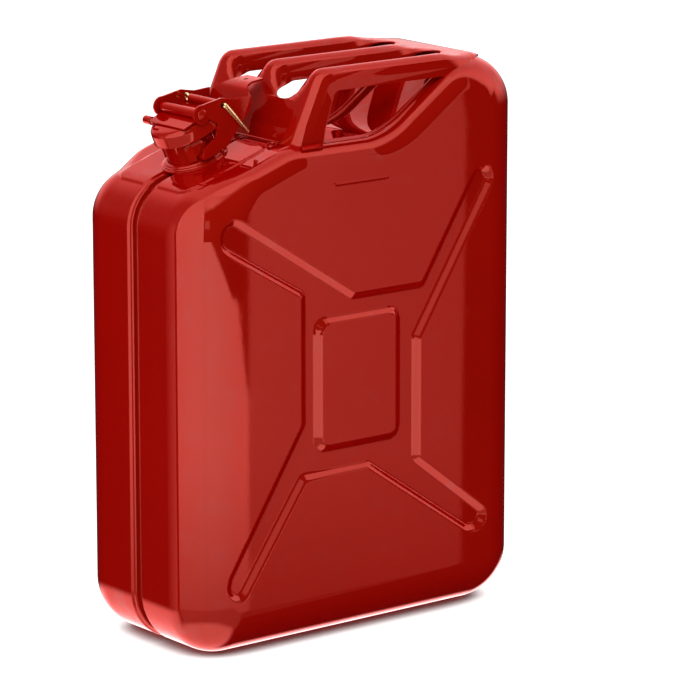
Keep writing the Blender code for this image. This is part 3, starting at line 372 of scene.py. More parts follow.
def wall_rings():
    """(distance from the seam, inset) of each ring from the walls onto the fillet, per outline point."""
    flat = FACE_Y - FILLETS
    rings = []
    for share in WALL_SHARES:
        rings.append((FLAT_START + (flat - FLAT_START) * share, np.zeros(len(flat))))
    last = math.acos(1 - FACE_SHARE)
    for step in range(1, FILLET_STEPS + 2):
        turn = last * step / FILLET_STEPS
        rings.append((flat + FILLETS * math.sin(turn), FILLETS * (1 - math.cos(turn))))
    return rings


def wall_lift(y):
    """How far the pad round the neck and the bead along the top rims stand out of the walls."""
    press = settings("pressing")
    top = smooth(NORMALS[:, 1], *RAISED_FACING)
    x = POINTS[:, 0]
    off_x = np.maximum(abs(x - NECK_PAD_X) - NECK_PAD_RUN, 0)
    off_y = np.maximum(abs(y) - NECK_PAD_HALF, 0)
    pad = 1 - smooth(np.hypot(off_x, off_y), *NECK_PAD_EDGE)
    rim = FACE_Y - FILLETS - RIM_BEAD_INSET
    bead = np.clip(1 - ((y - rim) / RIM_BEAD_HALF) ** 2, 0, 1) ** 2
    bead *= smooth(x, *RIM_BEAD_START) * (1 - smooth(x, *RIM_BEAD_END))
    return top * (press.pad * pad + press.bead * bead)


def ring_normals(verts):
    """Outward normals of a grid of rings, from its neighbours."""
    along = np.roll(verts, -1, axis=1) - np.roll(verts, 1, axis=1)
    across = np.gradient(verts, axis=0)
    normals = np.cross(across, along)
    normals /= np.maximum(np.linalg.norm(normals, axis=2), 1e-12)[:, :, None]
    outward = np.stack([NORMALS[:, 0], np.zeros(len(NORMALS)), NORMALS[:, 1]], 1)
    sign = np.sign((normals[0] * outward).sum())
    return normals * sign


def rounded(corners, radius, steps=5):
    """Round each corner of a closed outline, the radius shrinking where a side is short."""
    result = []
    count = len(corners)
    for index, corner in enumerate(corners):
        to_last = corners[index - 1] - corner
        to_next = corners[(index + 1) % count] - corner
        half = to_last.angle(to_next) / 2
        reach = min(radius / math.tan(half), 0.45 * to_last.length, 0.45 * to_next.length)
        start = corner + to_last.normalized() * reach
        end = corner + to_next.normalized() * reach
        for step in range(steps + 1):
            share = step / steps
            result.append(start.lerp(corner, share).lerp(corner.lerp(end, share), share))
    return np.array([tuple(point) for point in result])


def cross_outline():
    """Foot of the slopes round the pressed cross: a ring round the middle pad and four arms."""
    corners = [(-0.0112, 0.2839), (0.0645, 0.2841), (0.1201, 0.3722), (0.1276, 0.3752), (0.1311, 0.3672)]
    corners += [(0.0530, 0.2451), (0.0529, 0.1379), (0.1266, 0.0809), (0.1226, 0.0729), (0.1131, 0.0733)]
    corners += [(0.0068, 0.1461), (-0.0640, 0.1456), (-0.1273, 0.0547), (-0.1354, 0.0586), (-0.1339, 0.0681)]
    corners += [(-0.0585, 0.1856), (-0.0585, 0.2968), (-0.1400, 0.3450), (-0.1385, 0.3570), (-0.1310, 0.3605)]
    return rounded([Vector(corner) for corner in corners], CROSS_ROUND)


def pad_outline():
    """Foot of the raised pad in the middle of the cross."""
    left, right, low, high = -0.0500, 0.0400, 0.160, 0.2735
    corners = [Vector(c) for c in ((left, low), (left, high), (right, high), (right, low))]
    return rounded(corners, PAD_ROUND)


def outline_reach(points):
    """Distance of each point of the face to the can's outline, and the fillet's radius there."""
    best = np.full(len(points), 1e9)
    radius = np.zeros(len(points))
    ends = np.roll(POINTS, -1, axis=0)
    for start, end, first, second in zip(POINTS, ends, FILLETS, np.roll(FILLETS, -1)):
        side = end - start
        offset = points - start
        share = np.clip(offset @ side / max(side @ side, 1e-18), 0, 1)
        reach = np.linalg.norm(offset - share[:, None] * side, axis=1)
        nearer = reach < best
        best = np.where(nearer, reach, best)
        radius = np.where(nearer, first + (second - first) * share, radius)
    return best, radius


def face_height(reach, radius):
    """Height of the face over the seam, with the fillet where it begins."""
    inset = np.minimum(reach, radius)
    return FACE_Y - radius + np.sqrt(np.maximum(2 * radius * inset - inset * inset, 0))


def signed_distance(points, outline):
    """Distance of each point to a closed outline, positive inside, with its gradient."""
    best = np.full(len(points), 1e9)
    gradient = np.zeros_like(points)
    inside = np.zeros(len(points), bool)
    for start, end in zip(outline, np.roll(outline, -1, axis=0)):
        side = end - start
        offset = points - start
        share = np.clip(offset @ side / max(side @ side, 1e-18), 0, 1)
        away = offset - share[:, None] * side
        reach = np.linalg.norm(away, axis=1)
        nearer = reach < best
        best = np.where(nearer, reach, best)
        gradient = np.where(nearer[:, None], away / np.maximum(reach, 1e-9)[:, None], gradient)
        crosses = (start[1] > points[:, 1]) != (end[1] > points[:, 1])
        rise = end[1] - start[1]
        level = start[0] + (points[:, 1] - start[1]) / (rise if abs(rise) > 1e-12 else 1e-12) * side[0]
        inside ^= crosses & (points[:, 0] < level)
    sign = np.where(inside, 1.0, -1.0)
    return best * sign, gradient * sign[:, None]


def eased(distance, width):
    """Smooth rise from 0 to 1 over a width, with its slope."""
    share = np.clip(distance / width, 0, 1)
    bend = 0.2
    steep = 1 / (1 - bend)
    near = np.minimum(share, 1 - share)
    value = np.where(near < bend, steep * near * near / (2 * bend), steep * (near - bend / 2))
    value = np.where(share > 0.5, 1 - value, value)
    return value, steep * np.minimum(near / bend, 1) / width


def pressed(points):
    """How far each point of the face is pressed in, with the gradient."""
    press = settings("pressing")
    distance, gradient = signed_distance(points, cross_outline())
    value, slope = eased(distance + press.slope, press.slope)
    depth = press.depth * value
    lean = press.depth * slope[:, None] * gradient
    distance, gradient = signed_distance(points, pad_outline())
    value, slope = eased(distance, press.slope)
    depth -= press.depth * value
    lean -= press.depth * slope[:, None] * gradient
    # The fill line stands out of the face
    along = np.clip(points[:, 0] - FILL_LINE_X, -FILL_LINE_HALF, FILL_LINE_HALF)
    away = points - np.stack([along + FILL_LINE_X, np.full(len(points), FILL_LINE_Z)], 1)
    reach = np.linalg.norm(away, axis=1)
    value, slope = eased(FILL_LINE_EDGE * 1.6 - reach, FILL_LINE_EDGE * 1.5)
    depth -= press.line * value
    lean += press.line * slope[:, None] * away / np.maximum(reach, 1e-9)[:, None]
    return depth, lean


def half_shell_mesh(side):
    """One half of the tank with a smooth fillet, the pressed cross and a finely curved seam lip."""
    rows = section_rows()
    count = len(OUTLINE)
    verts, normals, faces = [], [], []
    for y, inset, lean in rows:
        ring = POINTS - NORMALS * (inset - wall_lift(y))[:, None]
        flat = math.sqrt(1 - min(lean * lean, 1.0))
        verts.append(np.stack([ring[:, 0], np.full(count, side * y), ring[:, 1]], 1))
        normals.append(np.stack([NORMALS[:, 0] * flat, np.full(count, side * lean), NORMALS[:, 1] * flat], 1))
    kept = len(rows) - FLAT_RINGS
    for y, inset in wall_rings():
        ring = POINTS - NORMALS * (inset - wall_lift(y))[:, None]
        verts.append(np.stack([ring[:, 0], side * y, ring[:, 1]], 1))
    grid = np.array(verts)
    measured = ring_normals(grid[kept - 1 :])[1:]
    normals = list(np.concatenate([np.array(normals[:kept]), measured])[:-1].reshape(-1, 3))
    rim = grid[-2][:, (0, 2)]
    verts = list(grid[:-1].reshape(-1, 3))
    levels = len(grid) - 1
    for row in range(levels - 1):
        for index in range(count):
            after = (index + 1) % count
            low, high = row * count, (row + 1) * count
            face = (low + index, low + after, high + after, high + index)
            faces.append(face if side > 0 else face[::-1])
    add_face(verts, normals, faces, rim, (levels - 1) * count, side)
    return np.array(verts), np.array(normals), faces


def add_face(verts, normals, faces, rim, rim_start, side):
    """Fill a half-shell's face with a grid that carries the pressing, sewn to the fillet's last ring."""
    step = settings("pressing").step
    low, high = rim.min(0) + FACE_MARGIN, rim.max(0) - FACE_MARGIN
    xs = np.linspace(low[0], high[0], int((high[0] - low[0]) / step) + 1)
    zs = np.linspace(low[1], high[1], int((high[1] - low[1]) / step) + 1)
    fine = np.arange(*FILL_LINE_BAND, FILL_LINE_STEP)
    coarse = zs[(zs < fine[0] - FILL_LINE_GAP) | (zs > fine[-1] + FILL_LINE_GAP)]
    zs = np.sort(np.concatenate([coarse, fine]))
    grid = np.stack(np.meshgrid(xs, zs, indexing="ij"), -1).reshape(-1, 2)
    reach, radius = outline_reach(grid)
    inside = signed_distance(grid, rim)[0] > FACE_MARGIN
    keep = inside.reshape(len(xs), len(zs))
    height = face_height(reach, radius).reshape(keep.shape)
    slope_x, slope_z = np.gradient(height, xs, zs)
    cells = keep[:-1, :-1] & keep[1:, :-1] & keep[:-1, 1:] & keep[1:, 1:]
    used = np.zeros_like(keep)
    for shift_x in (0, 1):
        for shift_z in (0, 1):
            used[shift_x : shift_x + cells.shape[0], shift_z : shift_z + cells.shape[1]] |= cells
    number = np.full(keep.shape, -1)
    number[used] = np.arange(used.sum()) + len(verts)
    points = grid[used.reshape(-1)]
    depth, lean = pressed(points)
    # The face falls away along its slopes and into the pressing, and its normal leans that way.
    tilt = np.stack([lean[:, 0] - slope_x[used], np.ones(len(points)), lean[:, 1] - slope_z[used]], 1)
    tilt /= np.linalg.norm(tilt, axis=1)[:, None]
    level = height[used] - depth
    verts += list(np.stack([points[:, 0], side * level, points[:, 1]], 1))
    normals += list(tilt * np.array([1.0, side, 1.0]))
    for i, j in np.argwhere(cells):
        face = (number[i, j], number[i, j + 1], number[i + 1, j + 1], number[i + 1, j])
        faces.append(tuple(int(n) for n in (face if side > 0 else face[::-1])))
    sew(verts, faces, rim_start, len(rim), cells, number, side)


def sew(verts, faces, rim_start, rim_count, cells, number, side):
    """Fill the narrow strip between the grid's stepped edge and the fillet's last ring."""
    edges = set()
    for i, j in np.argwhere(cells):
        a, b, c, d = number[i, j], number[i + 1, j], number[i + 1, j + 1], number[i, j + 1]
        for pair in ((a, b), (b, c), (c, d), (d, a)):
            key = (int(min(pair)), int(max(pair)))
            edges ^= {key}
    shape = bmesh.new()
    made = {}
    rim_ids = list(range(rim_start, rim_start + rim_count))
    loops = [(rim_ids[i - 1], rim_ids[i]) for i in range(rim_count)] + sorted(edges)
    for pair in loops:
        for index in pair:
            if index not in made:
                made[index] = shape.verts.new(verts[index])
    back = {vertex: index for index, vertex in made.items()}
    lines = [shape.edges.new((made[a], made[b])) for a, b in loops]
    bmesh.ops.triangle_fill(shape, use_beauty=True, edges=lines)
    for face in shape.faces:
        ring = [back[vertex] for vertex in face.verts]
        if face.normal.y * side < 0:
            ring.reverse()
        faces.append(tuple(ring))
    shape.free()


def cut_neck_hole(verts, faces):
    """Leave out the faces under the neck and draw the hole's edge onto a circle."""
    x = SHELL_LOW.x + NECK_SETBACK
    bend = SHELL_LOW.x + SHOULDER_RUN
    z = CREST_HEIGHT - (bend - x) * math.tan(SHOULDER_ANGLE)
    along = np.array([math.cos(SHOULDER_ANGLE), 0.0, math.sin(SHOULDER_ANGLE)])
    offset = verts - np.array([x, 0.0, z])
    p = offset @ along
    q = offset @ np.array([-along[2], 0.0, along[0]])
    reach = np.hypot(p, verts[:, 1])
    inside = (reach < NECK_HOLE) & (abs(q) < 0.02)
    kept = []
    edge = set()
    for face in faces:
        hits = [inside[i] for i in face]
        if all(hits):
            continue
        kept.append(face)
        if any(hits):
            edge |= {i for i, hit in zip(face, hits) if hit}
    for i in edge:
        scale = NECK_HOLE / max(reach[i], 1e-6) - 1
        if abs(verts[i, 1]) > SEAM_ROOT + 1e-6:
            verts[i] += along * p[i] * scale + np.array([0.0, verts[i, 1] * scale, 0.0])
        else:
            verts[i] += along * p[i] * scale
    return verts, kept


def closed_sheet(verts, normals, faces, thickness):
    """Give an open skin its inner side and rims, so that it is a closed sheet."""
    used = sorted({i for face in faces for i in face})
    place = {old: new for new, old in enumerate(used)}
    verts, normals = verts[used], normals[used]
    faces = [tuple(place[i] for i in face) for face in faces]
    count = len(verts)
    # A dict keeps the edges in the order of the faces
    edges = {}
    for face in faces:
        for i in range(len(face)):
            edges[(face[i - 1], face[i])] = True
    rims = [pair for pair in edges if (pair[1], pair[0]) not in edges]
    inner = [tuple(i + count for i in reversed(face)) for face in faces]
    walls = [(b, a, a + count, b + count) for a, b in rims]
    all_verts = np.concatenate([verts, verts - normals * thickness])
    all_normals = np.concatenate([normals, -normals])
    return all_verts, all_normals, faces + inner + walls


def new_piece(name, verts, faces, normals=None):
    """A mesh object in the can's frame, smooth, with its own normals where they are given."""
    mesh = bpy.data.meshes.new(name)
    mesh.from_pydata([tuple(v) for v in verts], [], faces)
    mesh.validate()
    mesh.shade_smooth()
    if normals is not None:
        mesh.normals_split_custom_set_from_vertices([tuple(n) for n in normals])
    piece = bpy.data.objects.new(name, mesh)
    bpy.context.scene.collection.objects.link(piece)
    return piece


def dress(piece, material, slot, body, *nodes):
    """Give a piece its finish and its body, and let it stand for its nodes."""
    piece.data.materials.clear()
    piece.data.materials.append(material)
    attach(piece, body)
    if nodes:
        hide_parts(*nodes)
    return piece


def softened(node, edge):
    """A copy of a node whose sharp edges are rounded and whose curved sides are smooth."""
    mesh = frame["nodes"][node].data.copy()
    mesh.name = node + "_soft"
    shape = bmesh.new()
    shape.from_mesh(mesh)
    bmesh.ops.remove_doubles(shape, verts=shape.verts, dist=SAME_POINT)
    bmesh.ops.dissolve_limit(shape, angle_limit=FLAT_ANGLE, verts=shape.verts, edges=shape.edges)
    shape.to_mesh(mesh)
    shape.free()
    mesh.shade_smooth()
    piece = bpy.data.objects.new(node + "_soft", mesh)
    bpy.context.scene.collection.objects.link(piece)
    if edge > 0:
        bevel = piece.modifiers.new("edge", "BEVEL")
        bevel.width = edge
        bevel.segments = BEVEL_SEGMENTS
        bevel.limit_method = "ANGLE"
        bevel.angle_limit = SHARP_ANGLE
    mesh.set_sharp_from_angle(angle=SHARP_ANGLE)
    return piece


def seated(piece):
    """Lift a piece's points by as much as the finer shell's top stands over the plain one there."""
    top = NORMALS[:, 1] > 0.3
    order = np.argsort(POINTS[top, 0])
    for vertex in piece.data.vertices:
        radius = float(np.interp(vertex.co.x, POINTS[top, 0][order], FILLETS[top][order]))
        plain, fine = (fillet_drop(abs(vertex.co.y), size) for size in (WALL_FILLET, radius))
        vertex.co.z += plain - fine
    return piece


def fillet_drop(y, radius):
    """How far a fillet has fallen away at a distance from the seam."""
    past = min(max(y - (FACE_Y - radius), 0.0), radius)
    return radius - math.sqrt(radius * radius - past * past)


def node_of(tree, kind, place, **values):
    """Add a shader node and set its plain inputs by name."""
    node = tree.nodes.new(kind)
    node.location = place
    for name, value in values.items():
        node.inputs[name.replace("_", " ")].default_value = value
    return node


def fresh_material(name):
    """A node material, its tree and its shader."""
    material = bpy.data.materials.new(name)
    material.use_nodes = True
    shader = material.node_tree.nodes["Principled BSDF"]
    return material, material.node_tree, shader


def gloss_paint():
    """Gloss red paint under a clear red lacquer, with faint orange peel and soft scuffs."""
    if "gloss_red_paint" in bpy.data.materials:
        return bpy.data.materials["gloss_red_paint"]
    paint = settings("paint")
    material, tree, shader = fresh_material("gloss_red_paint")
    shader.inputs["IOR"].default_value = 1.8
    shader.inputs["Coat Weight"].default_value = 1.0
    shader.inputs["Coat IOR"].default_value = 1.1
    shader.inputs["Coat Roughness"].default_value = 0.012
    shader.inputs["Coat Tint"].default_value = (*paint.tint, 1.0)
    place = tree.nodes.new("ShaderNodeTexCoord")
    shade = node_of(tree, "ShaderNodeTexNoise", (-900, 300), Scale=7.0, Detail=3.0, Roughness=0.5)
    ramp = tree.nodes.new("ShaderNodeValToRGB")
    ramp.color_ramp.elements[0].position = 0.35
    ramp.color_ramp.elements[0].color = (*[c * 0.97 for c in paint.red], 1.0)
    ramp.color_ramp.elements[1].position = 0.65
    ramp.color_ramp.elements[1].color = (*[min(c * 1.03, 1.0) for c in paint.red], 1.0)
    scuff = node_of(tree, "ShaderNodeTexNoise", (-900, 0), Scale=55.0, Detail=6.0, Roughness=0.65)
    rough = tree.nodes.new("ShaderNodeMapRange")
    rough.inputs["From Min"].default_value = 0.55
    rough.inputs["From Max"].default_value = 0.85
    rough.inputs["To Min"].default_value = paint.gloss
    rough.inputs["To Max"].default_value = paint.gloss + 0.03
    peel = node_of(tree, "ShaderNodeTexNoise", (-900, -300), Scale=420.0, Detail=2.0, Roughness=0.5)
    fine = node_of(tree, "ShaderNodeBump", (-300, -300), Strength=1.0, Distance=paint.peel)
    link = tree.links.new
    for texture in (shade, scuff, peel):
        link(place.outputs["Object"], texture.inputs["Vector"])
    link(shade.outputs["Fac"], ramp.inputs["Fac"])
    link(ramp.outputs["Color"], shader.inputs["Base Color"])
    link(scuff.outputs["Fac"], rough.inputs["Value"])
    link(rough.outputs["Result"], shader.inputs["Roughness"])
    link(peel.outputs["Fac"], fine.inputs["Height"])
    link(fine.outputs["Normal"], shader.inputs["Normal"])
    return material


def metal(name, colour, roughness, grain, scale):
    """Bare metal with a drawn grain and uneven polish."""
    if name in bpy.data.materials:
        return bpy.data.materials[name]
    material, tree, shader = fresh_material(name)
    shader.inputs["Metallic"].default_value = 1.0
    place = tree.nodes.new("ShaderNodeTexCoord")
    stretch = node_of(tree, "ShaderNodeMapping", (-1100, 0), Scale=scale)
    noise = node_of(tree, "ShaderNodeTexNoise", (-900, 0), Scale=1.0, Detail=4.0, Roughness=0.6)
    tone = tree.nodes.new("ShaderNodeValToRGB")
    tone.color_ramp.elements[0].color = (*[c * 0.72 for c in colour], 1.0)
    tone.color_ramp.elements[1].color = (*[min(c * 1.12, 1.0) for c in colour], 1.0)
    rough = tree.nodes.new("ShaderNodeMapRange")
    rough.inputs["To Min"].default_value = roughness * 0.8
    rough.inputs["To Max"].default_value = roughness * 1.35
    bump = node_of(tree, "ShaderNodeBump", (-300, -300), Strength=0.5, Distance=grain)
    link = tree.links.new
    link(place.outputs["Object"], stretch.inputs["Vector"])
    link(stretch.outputs["Vector"], noise.inputs["Vector"])
    link(noise.outputs["Fac"], tone.inputs["Fac"])
    link(tone.outputs["Color"], shader.inputs["Base Color"])
    link(noise.outputs["Fac"], rough.inputs["Value"])
    link(rough.outputs["Result"], shader.inputs["Roughness"])
    link(noise.outputs["Fac"], bump.inputs["Height"])
    link(bump.outputs["Normal"], shader.inputs["Normal"])
    return material


def seal_rubber():
    """Matt black rubber with a fine grain."""
    paint = settings("paint")
    material, tree, shader = fresh_material("sealing_rubber")
    place = tree.nodes.new("ShaderNodeTexCoord")
    grain = node_of(tree, "ShaderNodeTexNoise", (-900, 0), Scale=900.0, Detail=3.0, Roughness=0.6)
    tone = tree.nodes.new("ShaderNodeValToRGB")
    tone.color_ramp.elements[0].color = (*[c * 0.7 for c in paint.rubber], 1.0)
    tone.color_ramp.elements[1].color = (*[c * 1.6 for c in paint.rubber], 1.0)
    bump = node_of(tree, "ShaderNodeBump", (-300, -300), Strength=0.4, Distance=0.00008)
    shader.inputs["Roughness"].default_value = 0.72
    link = tree.links.new
    link(place.outputs["Object"], grain.inputs["Vector"])
    link(grain.outputs["Fac"], tone.inputs["Fac"])
    link(tone.outputs["Color"], shader.inputs["Base Color"])
    link(grain.outputs["Fac"], bump.inputs["Height"])
    link(bump.outputs["Normal"], shader.inputs["Normal"])
    return material


class PressShells(bpy.types.Operator):
    """Make the two half-shells with their pressed cross and seam lips"""

    bl_idname = "fuel_can.press_shells"
    bl_label = "Press shells"

    def execute(self, context):
        for name, side in (("shell_near", -1), ("shell_far", 1)):
            verts, normals, faces = half_shell_mesh(side)
            verts, faces = cut_neck_hole(verts, faces)
            verts, normals, faces = closed_sheet(verts, normals, faces, SHEET)
            piece = new_piece(name + "_pressed", verts, faces, normals)
            dress(piece, gloss_paint(), "red_paint", "can", name)
        return {"FINISHED"}


class SoftenParts(bpy.types.Operator):
    """Round the edges of the handle, neck and closure pieces and paint them"""

    bl_idname = "fuel_can.soften_parts"
    bl_label = "Soften parts"

    def execute(self, context):
        members = frame["record"]["behaviour"]["bodies"]
        bodies = {node: body for body, nodes in members.items() for node in nodes}
        for node in sorted(bodies):
            if node in UNPAINTED or node.startswith("shell_"):
                continue
            piece = softened(node, SOFT_EDGES.get(node, SOFT_EDGE))
            if node.startswith("foot_"):
                seated(piece)
            dress(piece, gloss_paint(), "red_paint", bodies[node], node)
        return {"FINISHED"}


class BareParts(bpy.types.Operator):
    """Finish the pieces that aren't painted: the seal, the breather pipe and the split pin"""

    bl_idname = "fuel_can.bare_parts"
    bl_label = "Bare parts"

    def execute(self, context):
        paint = settings("paint")
        brass = metal("drawn_brass", paint.brass, 0.26, 0.00004, (900.0, 900.0, 120.0))
        steel = metal("breather_steel", paint.steel, 0.34, 0.00003, (300.0, 900.0, 900.0))
        dress(softened("split_pin", 0.0), brass, "pin_brass", "locking_pin", "split_pin")
        dress(softened("breather_tube", 0.0002), steel, "breather_steel", "can", "breather_tube")
        dress(softened("cap_gasket", 0.0004), seal_rubber(), "sealing_rubber", "cap", "cap_gasket")
        return {"FINISHED"}


def maths(tree, operation, *values):
    """A maths node on sockets and plain numbers; returns its result."""
    node = tree.nodes.new("ShaderNodeMath")
    node.operation = operation
    for socket, value in zip(node.inputs, values):
        if isinstance(value, bpy.types.NodeSocket):
            tree.links.new(value, socket)
        else:
            socket.default_value = value
    return node.outputs["Value"]


def rise(tree, value, low, high, sharp=False):
    """0 below one level and 1 above the other, with a smooth or straight way between."""
    node = tree.nodes.new("ShaderNodeMapRange")
    node.interpolation_type = "LINEAR" if sharp else "SMOOTHSTEP"
    tree.links.new(value, node.inputs["Value"])
    node.inputs["From Min"].default_value = low
    node.inputs["From Max"].default_value = high
    return node.outputs["Result"]


def fall(tree, value, low, high):
    """1 below one level and 0 above the other."""
    return maths(tree, "SUBTRACT", 1.0, rise(tree, value, low, high))


def product(tree, *values):
    """Product of several sockets or numbers."""
    result = values[0]
    for value in values[1:]:
        result = maths(tree, "MULTIPLY", result, value)
    return result


def room_level(tree):
    """Brightness of the room in each direction: panels, screens, a bright top and a lit floor."""
    studio = settings("studio")
    coordinate = tree.nodes.new("ShaderNodeTexCoord")
    split = tree.nodes.new("ShaderNodeSeparateXYZ")
    tree.links.new(coordinate.outputs["Generated"], split.inputs["Vector"])
    x, y, z = split.outputs["X"], split.outputs["Y"], split.outputs["Z"]
    back_y = maths(tree, "MULTIPLY", y, -1.0)
    back_x = maths(tree, "MULTIPLY", x, -1.0)
    turn = maths(tree, "MULTIPLY", maths(tree, "ARCTAN2", back_y, back_x), 180 / math.pi)
    fade = maths(tree, "MULTIPLY_ADD", rise(tree, z, *PANEL_FOOT), 0.75, 0.25)
    past = rise(tree, turn, *PANEL_CORNER)
    left = product(tree, rise(tree, turn, *PANEL_START), fall(tree, turn, *PANEL_CORNER), fade, studio.panel)
    tipped = maths(tree, "MULTIPLY_ADD", turn, PANEL_TILT, z)
    tipped = maths(tree, "MULTIPLY_ADD", rise(tree, turn, *PANEL_NOTCH), PANEL_NOTCH_RISE, tipped)
    # The panels' upright edges are bent in the room, so that they are straight on the can's face
    tip = maths(tree, "MULTIPLY", maths(tree, "ARCTAN2", z, back_y), -180 / math.pi)
    tip = maths(tree, "MAXIMUM", maths(tree, "SUBTRACT", tip, BEND_START), 0.0)
    bent = maths(tree, "MULTIPLY", tip, maths(tree, "MULTIPLY_ADD", tip, BEND_CURVE, BEND_LEAN))
    across = maths(tree, "ADD", x, bent)
    near = product(tree, past, fall(tree, across, *PANEL_END), fall(tree, tipped, *PANEL_TOP), fade)
    near = product(tree, near, studio.panel)
    beyond = maths(tree, "SUBTRACT", across, SCREEN_MIDDLE)
    glow = maths(tree, "MULTIPLY_ADD", beyond, SCREEN_FALL, studio.screen)
    middle = product(tree, past, rise(tree, across, *PANEL_END), fall(tree, across, *SCREEN_END), glow, fade)
    wall = product(tree, rise(tree, turn, *WALL_START, True), fall(tree, turn, *WALL_END), studio.wall)
    wall = product(tree, wall, fall(tree, z, *WALL_TOP))
    aside = maths(tree, "MULTIPLY_ADD", rise(tree, x, *OVERHEAD_SIDE), 0.78, 0.22)
    overhead = maths(tree, "MULTIPLY_ADD", fall(tree, y, *OVERHEAD_NEAR), 1.3, studio.top)
    top = product(tree, rise(tree, y, *OVERHEAD_START), rise(tree, z, *OVERHEAD_FOOT), aside, overhead)
    behind = product(tree, fall(tree, z, *BEHIND_TOP), rise(tree, y, *BEHIND_START))
    below = product(tree, fall(tree, z, *BELOW_TOP), fall(tree, x, *BELOW_END))
    ground = product(tree, maths(tree, "MAXIMUM", behind, below), studio.ground)
    patch = product(tree, rise(tree, turn, *PATCH_TURN[0]), fall(tree, turn, *PATCH_TURN[1]), studio.screen)
    patch = product(tree, patch, rise(tree, z, *PATCH_HEIGHT[0]), fall(tree, z, *PATCH_HEIGHT[1]))
    level = left
    for part in (near, middle, wall, top, ground, patch):
        level = maths(tree, "MAXIMUM", level, part)
    return maths(tree, "ADD", level, studio.dim)


def studio_world():
    """White to the camera, even light for the shading, and a room with panels for the reflections."""
    studio = settings("studio")
    world = bpy.data.worlds.new("white_studio")
    bpy.context.scene.world = world
    world.use_nodes = True
    tree = world.node_tree
    tree.nodes.clear()
    link = tree.links.new
    room = node_of(tree, "ShaderNodeBackground", (0, 200), Color=(1, 1, 1, 1))
    link(room_level(tree), room.inputs["Strength"])
    even = node_of(tree, "ShaderNodeBackground", (0, 0), Color=(1, 1, 1, 1), Strength=studio.ambient)
    white = node_of(tree, "ShaderNodeBackground", (0, -200), Color=(1, 1, 1, 1), Strength=BACKDROP)
    path = tree.nodes.new("ShaderNodeLightPath")
    first = tree.nodes.new("ShaderNodeMixShader")
    second = tree.nodes.new("ShaderNodeMixShader")
    output = tree.nodes.new("ShaderNodeOutputWorld")
    link(path.outputs["Is Glossy Ray"], first.inputs["Fac"])
    link(even.outputs["Background"], first.inputs[1])
    link(room.outputs["Background"], first.inputs[2])
    link(path.outputs["Is Camera Ray"], second.inputs["Fac"])
    link(first.outputs["Shader"], second.inputs[1])
    link(white.outputs["Background"], second.inputs[2])
    link(second.outputs["Shader"], output.inputs["Surface"])


def studio_floor():
    """A wide pale floor that reads as white to the camera, keeps a share of the can's real shadow and adds a
    painted contact shadow close under it.
    """
    corners = ((-1, -1), (1, -1), (1, 1), (-1, 1))
    verts = [(x * FLOOR_REACH, y * FLOOR_REACH, 0) for x, y in corners]
    floor = new_piece("studio_floor", verts, [(0, 1, 2, 3)])
    floor.location.z = LOW.z - 0.0002
    floor.visible_glossy = False
    material, tree, shader = fresh_material("pale_floor")
    shader.inputs["Roughness"].default_value = 0.9
    shader.inputs["Specular IOR Level"].default_value = 0.1
    path = tree.nodes.new("ShaderNodeLightPath")
    seen = path.outputs["Is Camera Ray"]
    # The camera sees only a share of the floor's own colour, which the next lines make up for
    darker = settings("studio").white - 1
    grey = maths(tree, "MULTIPLY_ADD", seen, FLOOR_GREY * darker, FLOOR_GREY)
    tree.links.new(grey, shader.inputs["Base Color"])
    # Glow that the camera sees on the floor, faded by ambient occlusion close under the can into a painted
    # contact shadow
    painted_shadow_occlusion = tree.nodes.new("ShaderNodeAmbientOcclusion")
    painted_shadow_occlusion.samples = 16
    painted_shadow_occlusion.inputs["Distance"].default_value = SHADOW_REACH
    glow_outside_painted_shadow = rise(tree, painted_shadow_occlusion.outputs["AO"], *SHADOW_RANGE)
    shader.inputs["Emission Color"].default_value = (1, 1, 1, 1)
    tree.links.new(product(tree, glow_outside_painted_shadow, seen, FLOOR_GLOW), shader.inputs["Emission Strength"])
    floor.data.materials.append(material)


def soft_lamp(name, place, target, size, power):
    """A square soft lamp aimed at a point, not seen in reflections."""
    data = bpy.data.lights.new(name, "AREA")
    data.shape = "SQUARE"
    data.size = size
    data.energy = power
    lamp = bpy.data.objects.new(name, data)
    bpy.context.scene.collection.objects.link(lamp)
    lamp.location = place
    lamp.rotation_euler = (Vector(target) - Vector(place)).to_track_quat("-Z", "Y").to_euler()
    lamp.visible_glossy = False
    lamp.visible_camera = False
    return lamp


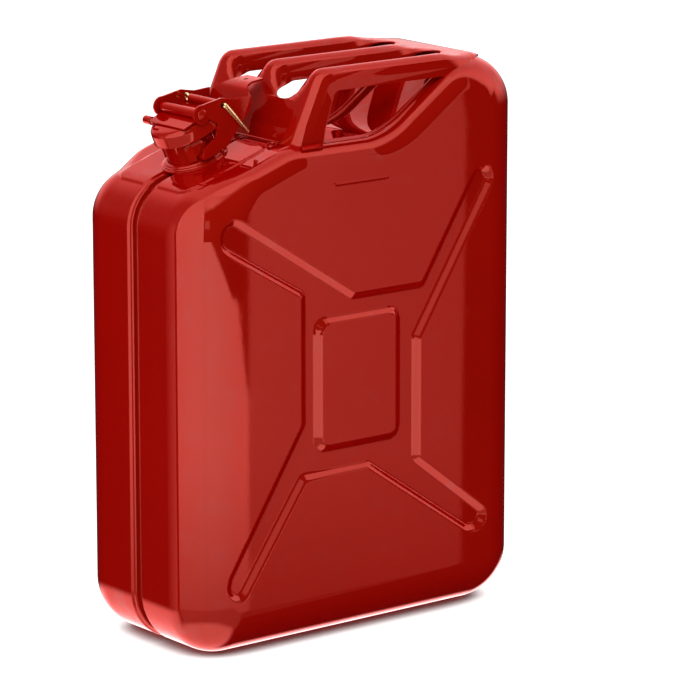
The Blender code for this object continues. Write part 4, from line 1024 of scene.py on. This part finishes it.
def studio_camera():
    """The photograph's viewpoint."""
    data = bpy.data.cameras.new("studio_camera")
    data.lens = LENS
    data.sensor_width = SENSOR
    camera = bpy.data.objects.new("studio_camera", data)
    bpy.context.scene.collection.objects.link(camera)
    right = Vector((math.cos(AZIMUTH), -math.sin(AZIMUTH), 0.0))
    flat = math.cos(ELEVATION)
    back = Vector((-math.sin(AZIMUTH) * flat, -math.cos(AZIMUTH) * flat, math.sin(ELEVATION)))
    up = back.cross(right)
    camera.matrix_world = Matrix.Translation(EYE) @ Matrix((right, up, back)).transposed().to_4x4()
    bpy.context.scene.camera = camera


class SetStudio(bpy.types.Operator):
    """Set up the floor, the world, the lamps and the camera"""

    bl_idname = "fuel_can.set_studio"
    bl_label = "Set studio"

    def execute(self, context):
        studio = settings("studio")
        studio_world()
        studio_floor()
        centre = (LOW + HIGH) / 2
        soft_lamp("key_lamp", KEY_PLACE, centre, LAMP_SIZE, studio.key)
        soft_lamp("fill_lamp", FILL_PLACE, centre, LAMP_SIZE, studio.fill)
        studio_camera()
        context.scene.view_settings.view_transform = "Standard"
        return {"FINISHED"}


class FuelCanPanel(bpy.types.Panel):
    """The can's settings and its steps"""

    bl_idname = "VIEW3D_PT_fuel_can"
    bl_label = "Fuel Can"
    bl_space_type = "VIEW_3D"
    bl_region_type = "UI"
    bl_category = "Fuel Can"

    def draw(self, context):
        for group, kind in GROUPS.items():
            box = self.layout.box()
            for name in kind.__annotations__:
                box.prop(settings(group), name)
        for step in STEPS:
            self.layout.operator(step.bl_idname)


GROUPS = {"paint": CanPaint, "pressing": CanPressing, "studio": CanStudio}
STEPS = (PressShells, SoftenParts, BareParts, SetStudio)


def register():
    for kind in (*GROUPS.values(), *STEPS, FuelCanPanel):
        bpy.utils.register_class(kind)
    for group, kind in GROUPS.items():
        setattr(bpy.types.Scene, "fuel_can_" + group, PointerProperty(type=kind))


def unregister():
    for group in GROUPS:
        delattr(bpy.types.Scene, "fuel_can_" + group)
    for kind in reversed((*GROUPS.values(), *STEPS, FuelCanPanel)):
        bpy.utils.unregister_class(kind)


def main():
    register()
    bpy.ops.fuel_can.press_shells()
    bpy.ops.fuel_can.soften_parts()
    bpy.ops.fuel_can.bare_parts()
    bpy.ops.fuel_can.set_studio()


if __name__ == "__main__":
    main()
